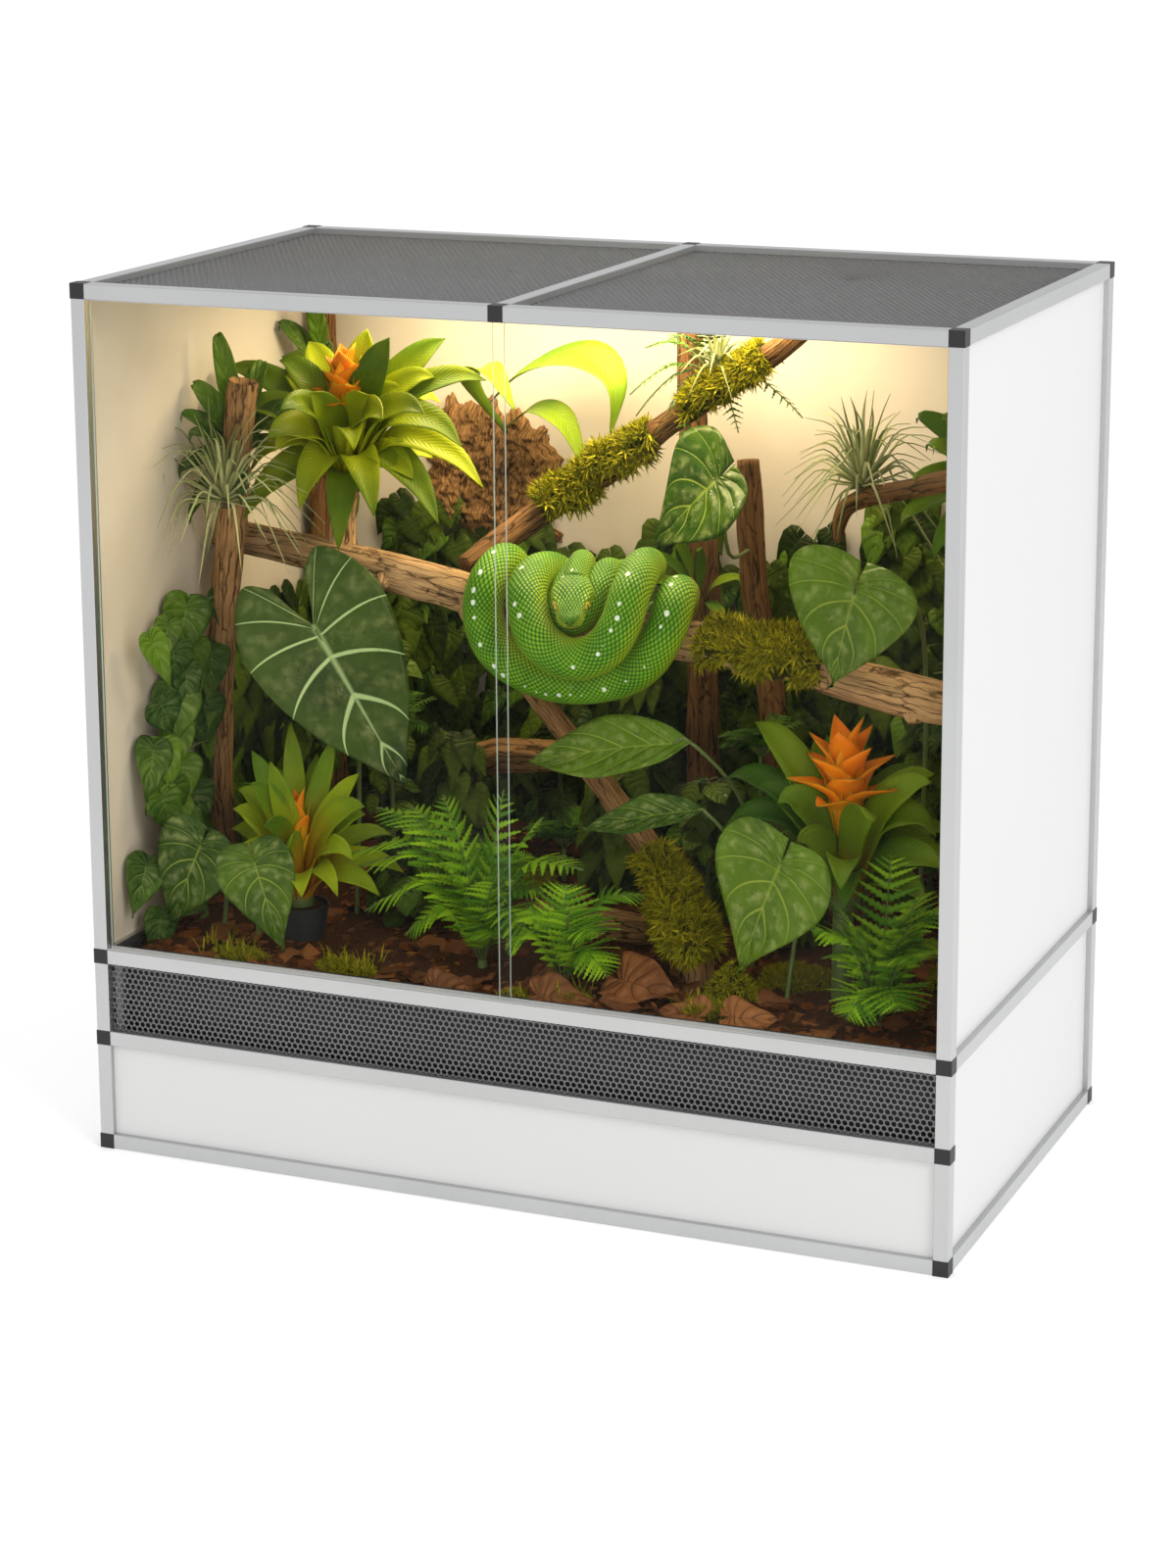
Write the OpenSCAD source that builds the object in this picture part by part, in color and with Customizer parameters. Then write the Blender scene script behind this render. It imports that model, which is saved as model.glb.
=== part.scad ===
// Front-opening reptile terrarium: a slotted square-tube cabinet with push-in
// corner connectors, two sliding glass doors, a ventilated front and roof, and
// a planted forest interior with perches and a coiled tree snake.
// X runs to the right, Y to the back, Z up. The origin is the middle of the
// underside. All sizes are in millimetres.

/* [Cabinet] */
// Overall width over the corner connectors
cabinet_w = 1200; // [1000:10:1500]
// Overall depth over the corner connectors
cabinet_d = 680; // [600:10:900]
// Overall height over the corner connectors
cabinet_h = 1180; // [1050:10:1400]
// Height of the front base board between its two rails
base_board_h = 127; // [100:1:140]
// Height of the ventilation opening under the doors
vent_h = 95; // [70:1:110]

/* [Frame] */
// Outside size of the square tube
tube = 20; // [18:0.5:24]
// Wall thickness of the tube
tube_wall = 1.5; // [1.2:0.1:1.8]
// Outside corner radius of the tube
tube_r = 1.2; // [0.8:0.1:2]
// How far the connectors stand proud of the tubes
connector_lip = 0.5; // [0.3:0.1:1]
// Length of a connector's spigot inside the tube
spigot_l = 32; // [20:1:34]
// Clearance between a spigot and the tube's hollow
spigot_gap = 0.1; // [0.05:0.05:0.2]
// Depth of the slots that hold the boards and meshes
slot_depth = 6; // [4:0.5:6]
// Wall of the channel behind a slot
channel_wall = 1.2; // [0.8:0.1:1.4]

/* [Boards and meshes] */
// Thickness of the wall, base and floor boards
board_t = 4; // [3:0.5:5]
// Thickness of the perforated sheets
mesh_t = 1.5; // [1:0.1:2]
// Clearance between a sheet and its slot, on each side
sheet_fit = 0.2; // [0.1:0.05:0.3]
// How far a sheet reaches into its slot
sheet_insert = 5; // [3:0.5:5.5]
// Distance between neighbouring ventilation holes
hole_pitch = 26; // [24:1:36]
// Diameter of the ventilation holes
hole_d = 21.5; // [14:0.5:22]
// Plain border round the holes
mesh_border = 8; // [4:1:20]

/* [Sliding doors] */
// Thickness of the glass
glass_t = 4; // [3:0.5:5]
// Overlap of the two doors at the middle
door_overlap = 12; // [8:1:30]
// Gap between a closed door and its post
door_side_gap = 0.5; // [0.3:0.1:2]
// Clearance of the glass in its groove, on each side
groove_gap = 0.3; // [0.25:0.05:0.6]
// Distance between the two grooves of a track
groove_pitch = 8; // [7:0.25:8.5]
// Width of a track, set into the rail
track_w = 15.6; // [14.5:0.1:15.8]
// How far a track stands out of its rail
track_lip = 1.2; // [0.8:0.1:2]
// Thickness of a track's floor
track_floor = 1; // [0.8:0.1:1.3]
// Depth of the lower grooves
lower_groove = 3.5; // [3:0.1:4]
// Depth of the upper grooves, which lets a door be lifted out
upper_groove = 7.2; // [7:0.1:8]
// How far the glass reaches into the upper groove
upper_hold = 3; // [2.5:0.1:3.4]
// Running clearance under the glass
door_rest_gap = 0.3; // [0.2:0.05:0.4]

/* [Ground] */
// Width of the air gap between the ventilation mesh and the soil tub
air_gap = 25; // [15:1:35]
// Wall and floor thickness of the soil tub
tub_wall = 3; // [2:0.5:4]
// Gap between the tub and the frame at the sides and back
tub_gap = 2; // [1:0.5:4]
// How far the tub's rim stays below the top of the sill
tub_rim_drop = 8; // [4:1:20]
// Drop from the tub's rim to the soil at the front
soil_front_drop = 13; // [5:1:30]
// Rise of the soil from the front to the back
soil_rise = 60; // [20:5:100]

/* [Wood] */
// Diameter of the main perch
perch_d = 54; // [36:1:60]
// Diameter of the upright trunks
trunk_d = 40; // [28:1:44]
// Thickness of the moss on the branches
moss_t = 9; // [5:0.5:12]
// Diameter of the slanting and ground branches
branch_d = 38; // [24:1:42]
// Gap between a wedged branch end and the wall
wedge_gap = 0.3; // [0.1:0.1:1]

/* [Plants] */
// Width of a bromeliad leaf
strap_w = 34; // [20:1:42]
// Width of a fern frond
fern_w = 54; // [36:1:60]
// Thickness of the leaves
leaf_t = 2; // [1.5:0.1:3]
// Thickness of the leaf stalks
stalk_d = 7; // [5:0.5:9]
// Top diameter of the plant pot
pot_d = 78; // [60:1:90]
// Height of the plant pot
pot_h = 62; // [45:1:75]
// Wall of the plant pot
pot_wall = 2; // [1.5:0.1:3]

/* [Snake] */
// Diameter of the snake's body
snake_d = 46; // [40:1:47]

/* [Hidden] */

$fn = 32;
overlap = 0.5; // how far a cutter runs past the face it opens

// ---- Frame levels and half sizes -------------------------------------------
rail_x = cabinet_w / 2 - connector_lip - tube / 2;
rail_y = cabinet_d / 2 - connector_lip - tube / 2;
z_bottom = connector_lip + tube / 2;
z_vent = z_bottom + tube + base_board_h;
z_sill = z_vent + tube + vent_h;
z_top = cabinet_h - connector_lip - tube / 2;

clear_w = 2 * rail_x - tube;          // between the posts
clear_d = 2 * rail_y - tube;
half_clear_w = rail_x - tube / 2;     // from the middle to a side rail
top_clear_h = z_top - z_sill - tube;  // door opening
low_clear_h = z_sill - z_bottom - tube;

// ---- Door tracks -----------------------------------------------------------
groove_w = glass_t + 2 * groove_gap;
lower_track_h = track_floor + lower_groove;
upper_track_h = track_floor + upper_groove;
lower_recess = lower_track_h - track_lip;
upper_recess = upper_track_h - track_lip;
track_fit = 0.2;
track_end_gap = 0.5;
y_front_glass = -rail_y - groove_pitch / 2;
y_rear_glass = -rail_y + groove_pitch / 2;
z_glass_low = z_sill + tube / 2 - lower_recess + track_floor + door_rest_gap;
z_glass_top = z_top - tube / 2 - track_lip + upper_hold;
door_w = clear_w / 2 - door_side_gap + door_overlap / 2;

// ---- Slots: [face angle, width, depth] ---------------------------------------
function board_slot(angle) = [angle, board_t + 2 * sheet_fit, slot_depth];
function mesh_slot(angle) = [angle, mesh_t + 2 * sheet_fit, slot_depth];
function track_slot(angle, depth) = [angle, track_w + 2 * track_fit, depth];

front_top_slots = [track_slot(270, upper_recess), mesh_slot(0)];
back_top_slots = [board_slot(270), mesh_slot(180)];
left_top_slots = [board_slot(270), mesh_slot(0)];
right_top_slots = [board_slot(270), mesh_slot(180)];
cross_slots = [mesh_slot(0), mesh_slot(180)];
sill_slots = [track_slot(90, lower_recess), mesh_slot(270)];
vent_slots = [mesh_slot(90), board_slot(270)];
mid_slots = [board_slot(90), board_slot(270)];
inward_right_slots = [board_slot(90), board_slot(0)];
inward_left_slots = [board_slot(90), board_slot(180)];
front_left_low_slots = [board_slot(90), board_slot(0)];
front_left_vent_slots = [board_slot(90), mesh_slot(0)];
front_right_low_slots = [board_slot(90), board_slot(180)];
front_right_vent_slots = [board_slot(90), mesh_slot(180)];
door_post_slots = [board_slot(90)];
back_left_slots = [board_slot(270), board_slot(0)];
back_right_slots = [board_slot(270), board_slot(180)];

// ---- Inner room ----------------------------------------------------------------
wall_x = rail_x - board_t / 2;        // inner face of a side board
wall_y = rail_y - board_t / 2;        // inner face of the back board
mesh_z = z_top - mesh_t / 2;          // underside of the roof mesh
floor_z = z_bottom + board_t / 2;     // top of the floor board
tub_x = half_clear_w - tub_gap;
tub_front = -rail_y + tube / 2 + air_gap;
tub_back = rail_y - tube / 2 - tub_gap;
tub_top = z_sill + tube / 2 - tub_rim_drop;
soil_front_z = tub_top - soil_front_drop;
soil_front_y = tub_front + tub_wall;
soil_back_y = tub_back - tub_wall;
function soil_z(y) = soil_front_z
    + soil_rise * (min(y, soil_back_y) - soil_front_y) / (soil_back_y - soil_front_y);

// The pot is bedded in the soil.
pot_taper = 0.76;
pot_fit = 0.3;

// The planting is laid out for a tank with these walls. In any other tank what
// is near a wall keeps its distance from it, and the rest spreads evenly.
layout_x = 587.5;
layout_y = 327.5;
layout_soil = 270;
layout_top = 1150;
function toward(v, from, to) = v + sign(v) * (to - from) * min(1, abs(v) / (0.7 * from));
function place(p) =
    let (k = max(0, min(1, (p[2] - layout_soil) / (layout_top - layout_soil))))
    [toward(p[0], layout_x, wall_x), toward(p[1], layout_y, wall_y),
     p[2] + (1 - k) * (soil_front_z + 9 - layout_soil) + k * (mesh_z - 18 - layout_top)];
function on_soil(x, y, sink = 0) =
    let (p = place([x, y, 0])) [p[0], p[1], soil_z(p[1]) - sink];

pot_base = on_soil(-377, -165, 14);

// ---- Small vector tools ----------------------------------------------------------
function unit(v) = v / norm(v);
function mix(a, b, t) = a + (b - a) * t;
function bend(a, b, c, t) = mix(mix(a, b, t), mix(b, c, t), t);
function helper(d) = abs(d[2]) > 0.9 ? [0, 1, 0] : [0, 0, 1];
function side_of(d) = unit(cross(d, helper(d)));
function heading(path, i) =
    unit(path[min(i + 1, len(path) - 1)] - path[max(i - 1, 0)]);

// The convex solid round a few points.
module span(points) {
    hull() polyhedron(points, [[for (i = [0 : len(points) - 1]) i]]);
}

// A chain of convex spans from each ring of points to the next.
module chain(rings) {
    for (i = [0 : len(rings) - 2]) span(concat(rings[i], rings[i + 1]));
}

// Side directions along a path, each turned as little as possible from the last.
function turns(path, i, side) =
    let (d = heading(path, i), s = unit(side - (side * d) * d))
    i == len(path) - 1 ? [s] : concat([s], turns(path, i + 1, s));

function ring(p, d, s, r, sides) =
    let (n = cross(s, d))
    [for (k = [0 : sides - 1]) p + r * (s * cos(360 * k / sides) + n * sin(360 * k / sides))];

// Rings of points across a path, one at each of its points.
function rings(path, radii, sides) =
    let (side = turns(path, 0, side_of(heading(path, 0))))
    [for (i = [0 : len(path) - 1])
        ring(path[i], heading(path, i), side[i], radii[min(i, len(radii) - 1)], sides)];

// A closed solid through rings that all have the same number of points. Walls
// on opposite sides are split along matching diagonals, so a thin blade stays thin.
module loft(sections) {
    sides = len(sections[0]);
    last = len(sections) - 1;
    walls = [
        for (i = [0 : last - 1], k = [0 : sides - 1])
            let (a = i * sides + k, b = i * sides + (k + 1) % sides)
            each k < sides / 2 ? [[a, b, b + sides], [a, b + sides, a + sides]]
                               : [[a, b, a + sides], [b, b + sides, a + sides]]
    ];
    polyhedron([for (s = sections) each s],
               concat([[for (k = [sides - 1 : -1 : 0]) k]], walls,
                      [[for (k = [0 : sides - 1]) last * sides + k]]));
}

// A round limb along a path, with its own radius at each point.
module limb(path, radii, sides = 7) {
    loft(rings(path, radii, sides));
}

// A strap leaf that arches from its base over a high point to its tip.
module strap_leaf(base, crest, tip, width, parts = 5) {
    path = [for (i = [0 : parts]) bend(base, crest, tip, i / parts)];
    chain([for (i = [0 : parts])
        let (d = heading(path, i), s = side_of(d), n = cross(s, d),
             t = i / parts, w = width * (0.55 + 0.9 * t - 1.35 * t * t) / 2 + 0.8)
        [path[i] - s * w, path[i] + s * w, path[i] - n * leaf_t]]);
}

// Half outlines of a leaf from its stalk to its tip: [along, across] shares of
// the length and width, and where the matching rib point lies along the length.
HEART_EDGE = [[-0.2, 0.14], [-0.18, 0.34], [0, 0.49], [0.25, 0.5], [0.55, 0.34], [0.8, 0.15], [1, 0]];
HEART_RIB = [0, 0.04, 0.11, 0.25, 0.55, 0.8, 1];
LANCE_EDGE = [[0, 0.04], [0.15, 0.36], [0.4, 0.5], [0.7, 0.34], [1, 0]];
LANCE_RIB = [0, 0.15, 0.4, 0.7, 1];

// A leaf blade lying along X, folded up along its rib and drooping to the tip.
module blade(length, width, edge, rib, fold = 0.25, droop = 0.15) {
    function sag(x) = -droop * length * max(0, x) * max(0, x);
    n = len(edge);
    // Its upper side has three rows of points: left edge, rib and right edge.
    upper = [
        for (s = [-1 : 1], i = [0 : n - 1])
            s == 0 ? [rib[i] * length, 0, sag(rib[i])]
                   : [edge[i][0] * length, s * max(edge[i][1] * width, 1),
                      fold * edge[i][1] * width + sag(edge[i][0])]
    ];
    top = [
        for (i = [0 : n - 2])
            each [[n + i, 2 * n + i, 2 * n + i + 1], [n + i, 2 * n + i + 1, n + i + 1],
                  [n + i, i + 1, i], [n + i, n + i + 1, i + 1]]
    ];
    rim = concat([n], [for (i = [0 : n - 1]) 2 * n + i], [2 * n - 1], [for (i = [n - 1 : -1 : 0]) i]);
    walls = [
        for (k = [0 : len(rim) - 1])
            let (a = rim[k], b = rim[(k + 1) % len(rim)])
            each [[b, a, a + 3 * n], [b, a + 3 * n, b + 3 * n]]
    ];
    polyhedron(concat(upper, [for (p = upper) p - [0, 0, leaf_t]]),
               concat(top, walls, [for (f = top) [f[2] + 3 * n, f[1] + 3 * n, f[0] + 3 * n]]));
}

// Sets a blade between its stalk point and tip point, with its upper side
// turned towards a direction.
module aim(stalk_point, tip, facing) {
    x = unit(tip - stalk_point);
    z = unit(facing - (facing * x) * x);
    y = cross(z, x);
    multmatrix([[x[0], y[0], z[0], stalk_point[0]],
                [x[1], y[1], z[1], stalk_point[1]],
                [x[2], y[2], z[2], stalk_point[2]], [0, 0, 0, 1]]) children();
}

module heart_leaf(stalk_point, tip, facing, width)
    aim(stalk_point, tip, facing)
        blade(norm(tip - stalk_point), width, HEART_EDGE, HEART_RIB);

module lance_leaf(stalk_point, tip, facing, width)
    aim(stalk_point, tip, facing)
        blade(norm(tip - stalk_point), width, LANCE_EDGE, LANCE_RIB);

// A stalk up to its leaf, and the rib under the blade that it runs on as.
module stalk(root, middle, stalk_point, tip, facing, d = stalk_d, parts = 3) {
    x = unit(tip - stalk_point);
    under = unit((facing * x) * x - facing) * (leaf_t + d / 7);
    path = [for (i = [0 : parts]) bend(root, middle, stalk_point + under, i / parts)];
    limb(path, [d / 2, d / 2, d / 2.2, d / 2.4], 5);
    limb([mix(path[parts], path[parts - 1], 0.04), mix(stalk_point, tip, 0.13) + under * 0.9], [d / 2.6, d / 3], 5);
}

// ---- Tube profile and rails ---------------------------------------------------------
// The hollow of a tube, less the channels behind its slots.
module hollow_2d(slots, gap) {
    size = tube - 2 * tube_wall - 2 * gap;
    difference() {
        square(size, center = true);
        for (s = slots)
            rotate(s[0])
                translate([tube / 2 - s[2] - channel_wall - gap, -s[1] / 2 - channel_wall - gap])
                    square([s[2] + channel_wall + overlap + gap, s[1] + 2 * channel_wall + 2 * gap]);
    }
}

module rounded_square_2d(size, r) {
    square([size, size - 2 * r], center = true);
    square([size - 2 * r, size], center = true);
    for (x = [-1, 1], y = [-1, 1])
        translate([x * (size / 2 - r), y * (size / 2 - r)]) circle(r);
}

module tube_2d(slots) {
    difference() {
        rounded_square_2d(tube, tube_r);
        hollow_2d(slots, 0);
        for (s = slots)
            rotate(s[0])
                translate([tube / 2 - s[2], -s[1] / 2])
                    square([s[2] + overlap, s[1]]);
    }
}

// Turns an extrusion along Z to lie along X, Y or Z. The profile's first axis
// becomes Y, X or X, and its second axis Z, Z or Y.
module along(axis) {
    rotate(axis == "x" ? [90, 0, 90] : axis == "y" ? [90, 0, 0] : [0, 0, 0]) children();
}

module rail(axis, length, slots, p) {
    color("silver") translate(p) along(axis)
        linear_extrude(length, center = true) tube_2d(slots);
}

// ---- Connectors ------------------------------------------------------------------------
// An arm is [axis, sign, slots of the tube that it enters].
function faces_of(arms, axis, sign) =
    len([for (a = arms) if (a[0] == axis && a[1] == sign) a]) > 0 ? 0 : connector_lip;

module spigot(axis, sign, slots) {
    offset = sign * (tube / 2 + spigot_l / 2 - overlap / 2);
    translate(axis == "x" ? [offset, 0, 0] : axis == "y" ? [0, offset, 0] : [0, 0, offset])
        along(axis) linear_extrude(spigot_l + overlap, center = true) hollow_2d(slots, spigot_gap);
}

// A connector's block with its spigots. Where a sheet or a track runs past the
// block, its slot is cut right through: [axis, slot].
module connector(p, arms, through = []) {
    low = [for (a = ["x", "y", "z"]) tube / 2 + faces_of(arms, a, -1)];
    high = [for (a = ["x", "y", "z"]) tube / 2 + faces_of(arms, a, 1)];
    color("dimgray") translate(p) {
        difference() {
            translate(-low) cube(low + high);
            for (t = through)
                along(t[0]) rotate(t[1][0])
                    translate([tube / 2 - t[1][2], -t[1][1] / 2, -tube])
                        cube([tube, t[1][1], 2 * tube]);
        }
        for (a = arms) spigot(a[0], a[1], a[2]);
    }
}

module top_corner_connectors() {
    connector([-rail_x, -rail_y, z_top],
        [["x", 1, front_top_slots], ["y", 1, left_top_slots], ["z", -1, door_post_slots]]);
    connector([rail_x, -rail_y, z_top],
        [["x", -1, front_top_slots], ["y", 1, right_top_slots], ["z", -1, door_post_slots]]);
    connector([-rail_x, rail_y, z_top],
        [["x", 1, back_top_slots], ["y", -1, left_top_slots], ["z", -1, back_left_slots]]);
    connector([rail_x, rail_y, z_top],
        [["x", -1, back_top_slots], ["y", -1, right_top_slots], ["z", -1, back_right_slots]]);
}

module bottom_corner_connectors() {
    connector([-rail_x, -rail_y, z_bottom],
        [["x", 1, inward_right_slots], ["y", 1, inward_right_slots], ["z", 1, front_left_low_slots]]);
    connector([rail_x, -rail_y, z_bottom],
        [["x", -1, inward_right_slots], ["y", 1, inward_left_slots], ["z", 1, front_right_low_slots]]);
    connector([-rail_x, rail_y, z_bottom],
        [["x", 1, inward_left_slots], ["y", -1, inward_right_slots], ["z", 1, back_left_slots]]);
    connector([rail_x, rail_y, z_bottom],
        [["x", -1, inward_left_slots], ["y", -1, inward_left_slots], ["z", 1, back_right_slots]]);
}

module mid_connectors() {
    connector([-rail_x, -rail_y, z_sill],
        [["x", 1, sill_slots], ["y", 1, mid_slots], ["z", 1, door_post_slots], ["z", -1, front_left_vent_slots]]);
    connector([rail_x, -rail_y, z_sill],
        [["x", -1, sill_slots], ["y", 1, mid_slots], ["z", 1, door_post_slots], ["z", -1, front_right_vent_slots]]);
    connector([-rail_x, rail_y, z_sill],
        [["x", 1, mid_slots], ["y", -1, mid_slots], ["z", 1, back_left_slots], ["z", -1, back_left_slots]]);
    connector([rail_x, rail_y, z_sill],
        [["x", -1, mid_slots], ["y", -1, mid_slots], ["z", 1, back_right_slots], ["z", -1, back_right_slots]]);
}

module vent_connectors() {
    connector([-rail_x, -rail_y, z_vent],
        [["x", 1, vent_slots], ["z", 1, front_left_vent_slots], ["z", -1, front_left_low_slots]],
        [["z", board_slot(90)]]);
    connector([rail_x, -rail_y, z_vent],
        [["x", -1, vent_slots], ["z", 1, front_right_vent_slots], ["z", -1, front_right_low_slots]],
        [["z", board_slot(90)]]);
}

module top_tee_connectors() {
    connector([0, -rail_y, z_top],
        [["x", 1, front_top_slots], ["x", -1, front_top_slots], ["y", 1, cross_slots]],
        [["x", track_slot(270, upper_recess)]]);
    connector([0, rail_y, z_top],
        [["x", 1, back_top_slots], ["x", -1, back_top_slots], ["y", -1, cross_slots]],
        [["x", board_slot(270)]]);
}

// ---- Rails -----------------------------------------------------------------------------
half_rail = half_clear_w - tube / 2;  // from a corner connector to the middle tee
half_rail_x = tube / 2 + half_rail / 2;

module front_top_rails()
    for (s = [-1, 1]) rail("x", half_rail, front_top_slots, [s * half_rail_x, -rail_y, z_top]);
module back_top_rails()
    for (s = [-1, 1]) rail("x", half_rail, back_top_slots, [s * half_rail_x, rail_y, z_top]);
module left_top_rail() rail("y", clear_d, left_top_slots, [-rail_x, 0, z_top]);
module right_top_rail() rail("y", clear_d, right_top_slots, [rail_x, 0, z_top]);
module top_cross_rail() rail("y", clear_d, cross_slots, [0, 0, z_top]);
module front_sill_rail() rail("x", clear_w, sill_slots, [0, -rail_y, z_sill]);
module front_vent_rail() rail("x", clear_w, vent_slots, [0, -rail_y, z_vent]);
module front_bottom_rail() rail("x", clear_w, inward_right_slots, [0, -rail_y, z_bottom]);
module back_mid_rail() rail("x", clear_w, mid_slots, [0, rail_y, z_sill]);
module back_bottom_rail() rail("x", clear_w, inward_left_slots, [0, rail_y, z_bottom]);
module left_mid_rail() rail("y", clear_d, mid_slots, [-rail_x, 0, z_sill]);
module right_mid_rail() rail("y", clear_d, mid_slots, [rail_x, 0, z_sill]);
module left_bottom_rail() rail("y", clear_d, inward_right_slots, [-rail_x, 0, z_bottom]);
module right_bottom_rail() rail("y", clear_d, inward_left_slots, [rail_x, 0, z_bottom]);

module front_posts(x, low_slots, high_slots) {
    rail("z", base_board_h, low_slots, [x, -rail_y, (z_bottom + z_vent) / 2]);
    rail("z", vent_h, high_slots, [x, -rail_y, (z_vent + z_sill) / 2]);
    rail("z", top_clear_h, door_post_slots, [x, -rail_y, (z_sill + z_top) / 2]);
}

module back_posts(x, slots) {
    rail("z", low_clear_h, slots, [x, rail_y, (z_bottom + z_sill) / 2]);
    rail("z", top_clear_h, slots, [x, rail_y, (z_sill + z_top) / 2]);
}

module front_left_posts() front_posts(-rail_x, front_left_low_slots, front_left_vent_slots);
module front_right_posts() front_posts(rail_x, front_right_low_slots, front_right_vent_slots);
module back_left_posts() back_posts(-rail_x, back_left_slots);
module back_right_posts() back_posts(rail_x, back_right_slots);

// ---- Boards and meshes --------------------------------------------------------------------
// A sheet that fills an opening and reaches into the slots round it, with
// notched corners that clear the connectors.
module sheet_2d(w, h) {
    square([w + 2 * sheet_insert, h - 2 * sheet_fit], center = true);
    square([w - 2 * sheet_fit, h + 2 * sheet_insert], center = true);
}

// Staggered round holes inside the border of a sheet.
module holes_2d(w, h) {
    row = hole_pitch * sin(60);
    columns = floor((w - 2 * mesh_border - hole_d) / hole_pitch);
    rows = floor((h - 2 * mesh_border - hole_d) / row);
    for (j = [0 : rows], i = [0 : columns - (j % 2)])
        translate([(i - columns / 2 + (j % 2) / 2) * hole_pitch, (j - rows / 2) * row])
            circle(d = hole_d, $fn = 24);
}

module sheet(axis, w, h, t, p)
    translate(p) rotate(axis == "x" ? [90, 0, 90] : axis == "y" ? [90, 0, 0] : [0, 0, 0])
        linear_extrude(t, center = true) sheet_2d(w, h);

module perforated_sheet(axis, w, h, t, p)
    translate(p) rotate(axis == "x" ? [90, 0, 90] : axis == "y" ? [90, 0, 0] : [0, 0, 0])
        linear_extrude(t, center = true) difference() {
            sheet_2d(w, h);
            holes_2d(w, h);
        }

module side_upper_panel(x)
    color("whitesmoke") sheet("x", clear_d, top_clear_h, board_t, [x, 0, (z_sill + z_top) / 2]);
module side_lower_panel(x)
    color("whitesmoke") sheet("x", clear_d, low_clear_h, board_t, [x, 0, (z_bottom + z_sill) / 2]);

module left_upper_panel() side_upper_panel(-rail_x);
module left_lower_panel() side_lower_panel(-rail_x);
module right_upper_panel() side_upper_panel(rail_x);
module right_lower_panel() side_lower_panel(rail_x);

module back_upper_panel()
    color("whitesmoke") sheet("y", clear_w, top_clear_h, board_t, [0, rail_y, (z_sill + z_top) / 2]);
module back_lower_panel()
    color("whitesmoke") sheet("y", clear_w, low_clear_h, board_t, [0, rail_y, (z_bottom + z_sill) / 2]);
module front_base_panel()
    color("whitesmoke") sheet("y", clear_w, base_board_h, board_t, [0, -rail_y, (z_bottom + z_vent) / 2]);
module floor_panel()
    color("whitesmoke") sheet("z", clear_w, clear_d, board_t, [0, 0, z_bottom]);

module top_mesh_left()
    color("darkslategray") perforated_sheet("z", half_rail, clear_d, mesh_t, [-half_rail_x, 0, z_top]);
module top_mesh_right()
    color("darkslategray") perforated_sheet("z", half_rail, clear_d, mesh_t, [half_rail_x, 0, z_top]);
module front_vent_mesh()
    color("darkslategray") perforated_sheet("y", clear_w, vent_h, mesh_t, [0, -rail_y, (z_vent + z_sill) / 2]);

// ---- Doors and tracks ----------------------------------------------------------------------
// Section of a double track that opens upwards, standing on the recess floor.
module track_2d(height) {
    difference() {
        translate([-track_w / 2, 0]) square([track_w, height]);
        for (s = [-1, 1])
            translate([s * groove_pitch / 2 - groove_w / 2, track_floor])
                square([groove_w, height]);
    }
}

module lower_door_track()
    color("dimgray") translate([0, -rail_y, z_sill + tube / 2 - lower_recess]) along("x")
        linear_extrude(clear_w - 2 * track_end_gap, center = true) track_2d(lower_track_h);

module upper_door_track()
    color("dimgray") translate([0, -rail_y, z_top - tube / 2 + upper_recess]) mirror([0, 0, 1]) along("x")
        linear_extrude(clear_w - 2 * track_end_gap, center = true) track_2d(upper_track_h);

module glass_door(x, y)
    color("lightcyan", 0.35) translate([x - door_w / 2, y - glass_t / 2, z_glass_low])
        cube([door_w, glass_t, z_glass_top - z_glass_low]);

module left_glass_door() glass_door(-half_clear_w + door_side_gap + door_w / 2, y_rear_glass);
module right_glass_door() glass_door(half_clear_w - door_side_gap - door_w / 2, y_front_glass);

// ---- Ground --------------------------------------------------------------------------------
module soil_tub()
    color("dimgray") difference() {
        translate([-tub_x, tub_front, floor_z]) cube([2 * tub_x, tub_back - tub_front, tub_top - floor_z]);
        translate([-tub_x + tub_wall, tub_front + tub_wall, floor_z + tub_wall])
            cube([2 * (tub_x - tub_wall), tub_back - tub_front - 2 * tub_wall, tub_top - floor_z]);
    }

// Soil that fills the tub and rises above its rim towards the back, with the
// seat that the pot is bedded in.
module soil() {
    low = floor_z + tub_wall;
    color("saddlebrown") difference() {
        along("x") linear_extrude(2 * (tub_x - tub_wall), center = true)
            polygon([[soil_front_y, low], [soil_back_y, low], [soil_back_y, soil_z(soil_back_y)],
                     [soil_front_y, soil_z(soil_front_y)]]);
        translate(pot_base)
            cylinder(r1 = pot_taper * pot_d / 2 + pot_fit, r2 = pot_d / 2 + pot_fit, h = pot_h);
    }
}

// Keeps what is sawn to length between the walls clear of them.
module sawn_to_room() {
    intersection() {
        children();
        translate([-wall_end, -cabinet_d, 0]) cube([2 * wall_end, 2 * cabinet_d, mesh_z - wedge_gap]);
    }
}

// ---- Wood ------------------------------------------------------------------------------------
perch_r = perch_d / 2;
trunk_r = trunk_d / 2;
branch_r = branch_d / 2;
wall_end = wall_x - wedge_gap;

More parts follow.
